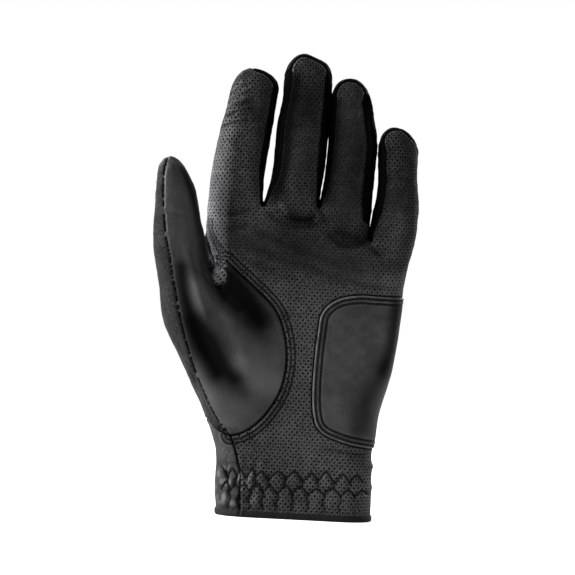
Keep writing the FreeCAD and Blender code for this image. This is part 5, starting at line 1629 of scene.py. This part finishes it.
# painted highlights on the patch's raised edge and between its stitch rows; darker along the stitch rows
heel_tone_and_highlights = PAINTED_LIGHT_AND_TONE * (1 + 1.1 * np.exp(-((hp - 0.42) / 0.26) ** 2) * h_nz + 0.85 * np.exp(-((hp - 2.65) / 0.38) ** 2) * h_nz)
heel_tone_and_highlights *= 1 - 0.50 * np.exp(-((hp - 1.6) / 0.62) ** 2) - 0.50 * np.exp(-((hp - 3.7) / 0.55) ** 2)
heel = shell("heel_patch_leather", hmask, ["smooth", "lining"], HP_OUT, HP_IN, h_n, attrs={"row_distance": h_row, "tone": heel_tone_and_highlights})
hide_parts("heel_patch")
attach(heel, "hand")
hb = BVHTree.FromPolygons([tuple(p) for p in HP_OUT], [tuple(t) for t in T[hmask].tolist()])


def on_heel(x, z, front_=True, lift=0.0):
    hit = hb.ray_cast(Vector((x, -60, z)), Vector((0, 1, 0)))
    if hit[0] is None:
        return None
    n_ = np.array(hit[1])
    return np.array(hit[0]), (-n_ if n_[1] > 0 else n_)


hl_line = catmull([(47.5, 112.7)] + HEEL + [(38.0, 36.6)], 0.7)
hs = 1.0 if signed(heel_poly, *offset(hl_line, 1.0)[len(hl_line) // 2][:, None].reshape(2, 1)) > 0 else -1.0
ob = stitches("heel_patch_stitches", [offset(hl_line, hs * 1.6), offset(hl_line, hs * 3.7)], "hand", surf=on_heel, pitch=1.9, length=1.15, r=0.28)
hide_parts("heel_patch_thread")


# zigzag rows over the wrist elastic
paths = []
for cols, zh, zl in ((COL1, 23.9, 19.2), (COL2, 16.6, 12.8)):
    pp = [on(x, z, True, 0.10) for x, z in scallop(cols, zh, zl, 36.5)]
    pp = [p for p in pp if p is not None]
    paths.append(([p[0] for p in pp], [p[1] for p in pp]))
sm = []
for P_, N_ in paths:
    P_, N_ = np.array(P_), np.array(N_)
    for _ in range(2):
        N_[1:-1] = (N_[:-2] + 2 * N_[1:-1] + N_[2:]) / 4
    sm.append((P_, N_))
ob = tube("cuff_zigzag_stitches", sm, 0.30, "thread", "hand")
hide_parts("cuff_zigzag_thread")
note("threads")


# ---- cuff: binding over the raw edge, facing and elastic inside
on_glove = LAB != "gone"
zt_ = DV[:, 2]
u_ = np.clip(zt_ / 3.2, 0, 1)
pipe = 0.62 * np.clip(1 - np.abs(2 * u_ - 1) ** 2.6, 0, 1) ** 0.5 + 0.16
wave = 0.10 * noise(V, 3.4, 8.0)
bo, bi = DV + NS * (pipe + wave)[:, None], DV - NS * (THICK + 0.45)
bo[:, 2] = np.where((TAGS & TAG_RIM) > 0, 0.0, bo[:, 2])
bi[:, 2] = np.where((TAGS & TAG_RIM) > 0, 0.0, bi[:, 2])
ob = shell("cuff_binding_tape", on_glove & (C[:, 2] < 3.2), ["tape", "tape"], bo, bi, point_normals(bo, T))
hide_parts("cuff_binding")
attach(ob, "hand")
fo, fi = DV - NS * (THICK + 0.50), DV - NS * (THICK + 1.05)
fo[:, 2] += 0.25
fi[:, 2] += 0.25
ob = shell("cuff_facing_tape", on_glove & (C[:, 2] < 4.6), ["tape", "tape"], fo, fi, ND)
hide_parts("cuff_facing")
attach(ob, "hand")
eo, ei = DV - NS * (THICK + 0.05), DV - NS * (THICK + 0.95)
ob = shell("wrist_elastic_band", on_glove & (CS < 0.05) & (C[:, 2] > 12.5) & (C[:, 2] < 24.5), ["elastic", "elastic"], eo, ei, ND)
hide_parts("wrist_elastic")
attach(ob, "hand")

# ---- the slit's tape
sl = np.full(n_pts, -9.0)
w = near(V, slit_poly, 8.0) & (SV > 0.2)
sl[w] = -signed(slit_poly, x_[w], z_[w])
us = np.clip(sl / 3.4, 0, 1)
pipe = 0.50 * np.clip(1 - np.abs(2 * us - 1) ** 3, 0, 1) ** 0.5 + 0.12
so, si = DV + NS * pipe[:, None], DV - NS * (THICK + 0.40)
slc = -signed(slit_poly, C[:, 0], C[:, 2])
ob = shell("slit_binding_tape", on_glove & rear & (slc < 3.4) & (C[:, 2] > 3.2) & (C[:, 2] < 66), ["tape", "tape"], so, si, point_normals(so, T))
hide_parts("slit_binding")
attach(ob, "hand")

# ---- loop patch, sewn flat on the back
lp = np.full(n_pts, -9.0)
w = near(V, LOOP_POLY, 3.0) & (SV > 0.2)
lp[w] = signed(LOOP_POLY, x_[w], z_[w])
nap = 0.75 + 0.12 * noise(V, 1.4, 9.0) - 0.35 * np.exp(-((lp - 2.0) / 0.5) ** 2) - 0.35 * smooth(0.6, 0.0, lp)
lo_, li_ = DV + NS * nap[:, None], DV + NS * 0.03
ob = shell("loop_patch_tape", on_glove & rear & (signed(LOOP_POLY, C[:, 0], C[:, 2]) > 0), ["loop", "tape"], lo_, li_, point_normals(lo_, T))
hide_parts("loop_patch")
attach(ob, "hand")

# ---- closure tab: one strip of leather sewn down at its left end, with the hook tape under its nose
cad_tab = []
for nm in ("closure_tab", "tab_anchor"):
    o = frame["nodes"][nm]
    me = o.data
    co = np.empty(len(me.vertices) * 3)
    me.vertices.foreach_get("co", co)
    co = co.reshape(-1, 3)
    mw = np.array(o.matrix_world)
    co = (co @ mw[:3, :3].T + mw[:3, 3]) * 1000
    me.calc_loop_triangles()
    lt_ = np.empty(len(me.loop_triangles) * 3, np.int32)
    me.loop_triangles.foreach_get("vertices", lt_)
    cad_tab.append(BVHTree.FromPolygons([tuple(p) for p in co], [tuple(t) for t in lt_.reshape(-1, 3).tolist()]))


def tab_y(x, z):
    best = None
    for bb in cad_tab:
        h_ = bb.ray_cast(Vector((x, 60, z)), Vector((0, -1, 0)))
        if h_[0] is not None and (best is None or h_[0].y > best):
            best = h_[0].y
    return best


def tab_half(x):
    h_ = 13.5 - 4.6 * smooth(10, 30, x)
    t_ = np.clip((x - 25.5) / 7.5, 0, 1)
    h_ = h_ * np.sqrt(np.clip(1 - t_ ** 2.6, 0, 1))
    t2 = np.clip((-16.4 - x) / 1.6, 0, 1)
    return h_ - 1.6 * (1 - np.sqrt(1 - t2 ** 2))


gx = np.arange(-18.0, 25.6, 0.55)
gx = np.concatenate([gx, 25.5 + 7.5 * np.sin(np.linspace(0, 1, 22)[1:] * math.pi / 2)])
gv = np.linspace(-1, 1, 57)
# sampled heights of the strip, smoothed into one sheet over the gap between anchor and tab
cx_s = np.arange(-17.5, 32.6, 1.0)
cz_s = np.arange(9.0, 34.6, 1.0)
hy = np.full((len(cx_s), len(cz_s)), np.nan)
for i, a_ in enumerate(cx_s):
    for j, b_ in enumerate(cz_s):
        r_ = tab_y(a_, b_)
        if r_ is not None:
            hy[i, j] = r_
for _ in range(60):
    bad = np.isnan(hy)
    if not bad.any():
        break
    pad = np.pad(hy, 1, constant_values=np.nan)
    nb = np.stack([pad[2:, 1:-1], pad[:-2, 1:-1], pad[1:-1, 2:], pad[1:-1, :-2]])
    ok = ~np.isnan(nb)
    mean = np.where(ok, nb, 0).sum(0) / np.maximum(ok.sum(0), 1)
    hy = np.where(bad & (ok.sum(0) > 0), mean, hy)
hy = blur(blur(hy, 2.0), 2.0) if hy.shape[0] > 4 else hy


def sheet_y(x, z):
    fi_ = np.clip((x - cx_s[0]), 0, len(cx_s) - 1.001)
    fj_ = np.clip((z - cz_s[0]), 0, len(cz_s) - 1.001)
    i, j = fi_.astype(int), fj_.astype(int)
    a_, b_ = fi_ - i, fj_ - j
    return (hy[i, j] * (1 - a_) * (1 - b_) + hy[i + 1, j] * a_ * (1 - b_) + hy[i, j + 1] * (1 - a_) * b_ + hy[i + 1, j + 1] * a_ * b_)


def strip_mesh(name, xs, half, zc, top, bot, mats, edge_r=0.5):
    X_, V__ = np.meshgrid(xs, gv, indexing="ij")
    Hf = half(X_)
    vv = np.sign(V__) * (1 - (1 - np.abs(V__)) ** 1.25)
    Z_ = zc + vv * Hf
    poly_ = np.concatenate([np.stack([xs, zc - half(xs)], 1), np.stack([xs, zc + half(xs)], 1)[::-1]])
    de = np.abs(seg_dist(X_, Z_, poly_)[0])
    yt, yb = top(X_, Z_, de), bot(X_, Z_, de)
    nx, nz = X_.shape
    P1 = np.stack([X_, yt, Z_], -1).reshape(-1, 3)
    P2 = np.stack([X_, yb, Z_], -1).reshape(-1, 3)
    idx = np.arange(nx * nz).reshape(nx, nz)
    q = np.stack([idx[:-1, :-1], idx[:-1, 1:], idx[1:, 1:], idx[1:, :-1]], -1).reshape(-1, 4)
    rim_ = np.concatenate([idx[:, 0], idx[-1, 1:], idx[::-1, -1][1:], idx[0, ::-1][1:-1]])
    nxt = np.roll(rim_, -1)
    n_ = nx * nz
    wl = np.stack([rim_, nxt, nxt + n_, rim_ + n_], 1)
    uvs = np.stack([P1[:, 0], P1[:, 2]], 1)
    ob_ = to_object(name, np.concatenate([P1, P2]), [q, q[:, ::-1] + n_, wl], mats,
                    np.concatenate([np.zeros(len(q)), np.ones(len(q)), np.zeros(len(wl))]), None, np.concatenate([uvs, uvs]))
    return ob_


TAB_T = 1.25


def tab_top(x, z, de):
    y = sheet_y(x, z)
    round_ = -0.55 * np.exp(-de / 0.35)
    roll = 0.16 * np.exp(-((de - 1.1) / 0.7) ** 2) - 0.26 * np.exp(-((de - 2.5) / 0.45) ** 2)
    p = np.stack([x, y * 0, z], -1).reshape(-1, 3)
    soft = (0.10 * noise(p, 9.0, 12.0) + 0.05 * noise(p, 3.0, 13.0)).reshape(x.shape)
    inner = -0.16 * np.exp(-((x - 8.0) / 0.5) ** 2) * smooth(2.5, 4, de)
    bend = -0.18 * np.exp(-((x + 8.0) / 0.9) ** 2)
    return y - 0.12 + round_ + roll + soft + inner + bend


def tab_bot(x, z, de):
    return sheet_y(x, z) - 0.12 - TAB_T + 0.30 * np.exp(-de / 0.3)


tab = strip_mesh("closure_tab_leather", gx, tab_half, 21.5, tab_top, tab_bot, ["grain", "lining"])
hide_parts("closure_tab", "tab_anchor")
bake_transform(tab)


def hook_half(x):
    return np.full_like(np.asarray(x, float), 10.4) - 2.2 * smooth(20, 30, x)


hk = strip_mesh("hook_patch_tape", np.linspace(9.4, 29.4, 40), hook_half, 21.5,
                lambda x, z, de: sheet_y(x, z) - 0.12 - TAB_T + 0.02,
                lambda x, z, de: sheet_y(x, z) - 0.12 - TAB_T - 0.62 + 0.35 * np.exp(-de / 0.3) - 0.10 * np.abs(np.sin(x * 2.6)) * np.abs(np.sin(z * 2.6)),
                ["tape", "hook"])
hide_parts("hook_patch")
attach(hk, "closure")

tvb = BVHTree.FromPolygons([tuple(np.array(v.co) * 1000) for v in tab.data.vertices], [tuple(p.vertices) for p in tab.data.polygons])


def on_tab(x, z, front_=False, lift=0.0):
    hit = tvb.ray_cast(Vector((x, 60, z)), Vector((0, -1, 0)))
    if hit[0] is None:
        return None
    n_ = np.array(hit[1])
    return np.array(hit[0]), (-n_ if n_[1] < 0 else n_)


def tab_ring(inset, x0, x1):
    xs = np.concatenate([np.arange(x0, 25.5, 0.7), 25.5 + (7.5 - inset) * np.sin(np.linspace(0, 1, 16)[1:] * math.pi / 2)])
    hf = tab_half(xs) - inset
    sc = np.clip((33.0 - inset - xs) / 2.0, 0, 1) ** 0.5
    hf = np.maximum(hf, 0) * np.where(xs > 29, sc, 1) if False else np.maximum(hf, 0)
    lo__ = np.stack([xs, 21.5 - hf], 1)
    up__ = np.stack([xs, 21.5 + hf], 1)
    lo__ = lo__[hf > 0.3]
    up__ = up__[hf > 0.3]
    return np.concatenate([lo__, up__[::-1]])


ring1 = tab_ring(2.5, -4.6, 33)
box_l = np.array([(8.0, 11.5), (8.0, 31.5)])
ob = stitches("closure_tab_stitches", [ring1, arc_points(box_l, 0.7)], "closure", surf=on_tab)
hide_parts("closure_tab_thread")
anc = [np.array([(-11.4, 10.5), (-16.6, 10.5), (-16.6, 32.5), (-11.4, 32.5), (-11.4, 10.5)]), np.array([(-16.6, 10.5), (-11.4, 32.5)]),
       np.array([(-11.4, 10.5), (-16.6, 32.5)])]
ob = stitches("tab_anchor_stitches", [arc_points(a_, 0.7) for a_ in anc], "hand", surf=on_tab)
note("closure")

# =============================================================================================
# 8. Stage, light and camera
# =============================================================================================
scene = bpy.context.scene
me = bpy.data.meshes.new("floor")
me.from_pydata([(-2.5, -2.5, 0), (2.5, -2.5, 0), (2.5, 2.5, 0), (-2.5, 2.5, 0)], [], [(0, 1, 2, 3)])
floor = bpy.data.objects.new("floor", me)
scene.collection.objects.link(floor)
fm = bpy.data.materials.new("floor_white")
fm.use_nodes = True
fb = fm.node_tree.nodes["Principled BSDF"]
fb.inputs["Base Color"].default_value = (0.86, 0.86, 0.86, 1)
fb.inputs["Roughness"].default_value = 0.9
fb.inputs["Specular IOR Level"].default_value = 0.0
fb.inputs["Emission Color"].default_value = (1, 1, 1, 1)
# painted shadow: the floor's glow for camera rays is dimmer near the glove, a painted contact shadow, and goes out
# inside the cuff's ellipse, painted shade inside the glove
fl = fm.node_tree.nodes.new("ShaderNodeLightPath")
fx = fm.node_tree.nodes.new("ShaderNodeMath")
fx.operation = "MULTIPLY"
fc_ = fm.node_tree.nodes.new("ShaderNodeTexCoord")
fv_ = fm.node_tree.nodes.new("ShaderNodeVectorMath")
fv_.operation = "LENGTH"
fm.node_tree.links.new(fc_.outputs["Object"], fv_.inputs[0])
floor_shadow_ramp = fm.node_tree.nodes.new("ShaderNodeMapRange")
floor_shadow_ramp.interpolation_type = "SMOOTHSTEP"
for k_, v_ in (("From Min", 0.12), ("From Max", 0.45), ("To Min", 0.82), ("To Max", 1.0)):
    floor_shadow_ramp.inputs[k_].default_value = v_
fm.node_tree.links.new(fv_.outputs["Value"], floor_shadow_ramp.inputs["Value"])
fs_ = fm.node_tree.nodes.new("ShaderNodeVectorMath")
fs_.operation = "MULTIPLY"
fs_.inputs[1].default_value = (1 / 0.0385, 1 / 0.0165, 0.0)
fm.node_tree.links.new(fc_.outputs["Object"], fs_.inputs[0])
fe_ = fm.node_tree.nodes.new("ShaderNodeVectorMath")
fe_.operation = "LENGTH"
fm.node_tree.links.new(fs_.outputs[0], fe_.inputs[0])
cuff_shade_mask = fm.node_tree.nodes.new("ShaderNodeMapRange")
for k_, v_ in (("From Min", 0.97), ("From Max", 1.03), ("To Min", 0.0), ("To Max", 1.0)):
    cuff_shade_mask.inputs[k_].default_value = v_
fm.node_tree.links.new(fe_.outputs["Value"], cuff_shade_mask.inputs["Value"])
fp_ = fm.node_tree.nodes.new("ShaderNodeMath")
fp_.operation = "MULTIPLY"
fm.node_tree.links.new(floor_shadow_ramp.outputs["Result"], fp_.inputs[0])
fm.node_tree.links.new(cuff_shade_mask.outputs["Result"], fp_.inputs[1])
fm.node_tree.links.new(fp_.outputs[0], fx.inputs[1])
fm.node_tree.links.new(fl.outputs["Is Camera Ray"], fx.inputs[0])
fm.node_tree.links.new(fx.outputs[0], fb.inputs["Emission Strength"])
me.materials.append(fm)

world = bpy.data.worlds.new("studio")
scene.world = world
world.use_nodes = True
nt = world.node_tree
nt.nodes.clear()
lp_ = nt.nodes.new("ShaderNodeLightPath")
b1_ = nt.nodes.new("ShaderNodeBackground")
b2_ = nt.nodes.new("ShaderNodeBackground")
mx = nt.nodes.new("ShaderNodeMixShader")
wo = nt.nodes.new("ShaderNodeOutputWorld")
b1_.inputs["Color"].default_value = (1, 1, 1, 1)
b1_.inputs["Strength"].default_value = 0.030
b2_.inputs["Color"].default_value = (1, 1, 1, 1)
b2_.inputs["Strength"].default_value = 1.0
nt.links.new(lp_.outputs["Is Camera Ray"], mx.inputs[0])
nt.links.new(b1_.outputs[0], mx.inputs[1])
nt.links.new(b2_.outputs[0], mx.inputs[2])
nt.links.new(mx.outputs[0], wo.inputs[0])


def softbox(name, at, target, w_, h_, watts, color=(1, 1, 1)):
    ld = bpy.data.lights.new(name, "AREA")
    ld.shape = "RECTANGLE"
    ld.size, ld.size_y = w_, h_
    ld.energy = watts
    ld.color = color
    lo2 = bpy.data.objects.new(name, ld)
    lo2.location = at
    d_ = Vector(target) - Vector(at)
    lo2.rotation_euler = d_.to_track_quat("-Z", "Y").to_euler()
    scene.collection.objects.link(lo2)
    return lo2


softbox("left_strip", (-0.85, -0.28, 0.30), (-0.02, 0, 0.12), 0.35, 0.9, 9.0)
softbox("left_edge", (-0.80, 0.06, 0.26), (-0.04, 0, 0.14), 0.28, 0.5, 4.0)
softbox("key", (-0.45, -0.95, 0.85), (0, 0, 0.12), 0.5, 0.5, 5.0)
softbox("right_fill", (0.80, -0.55, 0.22), (0, 0, 0.12), 0.3, 0.8, 1.2)
softbox("top", (0.0, -0.10, 1.0), (0, 0, 0.15), 0.7, 0.4, 2.5)
softbox("back_left", (-0.6, 0.9, 0.6), (0, 0, 0.12), 0.6, 0.6, 4.0)
softbox("back_right", (0.7, 0.8, 0.5), (0, 0, 0.12), 0.6, 0.6, 3.0)

cam_d = bpy.data.cameras.new("camera")
cam_d.lens = 180.0
cam_d.sensor_width = 36.0
cam_d.clip_end = 20.0
cam = bpy.data.objects.new("camera", cam_d)
roll = math.radians(3.0)
dist = 0.2875 * 180.0 / 36.0
r_ = Vector((math.cos(roll), 0, math.sin(roll)))
u2 = Vector((-math.sin(roll), 0, math.cos(roll)))
b_ = Vector((0, -1, 0))
from mathutils import Matrix
mt = Matrix((r_, u2, b_)).transposed().to_4x4()
mt.translation = Vector((-0.00853, -0.005 - dist, 0.11496))
cam.matrix_world = mt
scene.collection.objects.link(cam)
scene.camera = cam

scene.view_settings.view_transform = "Standard"
scene.view_settings.look = "None"

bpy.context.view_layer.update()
note("done")
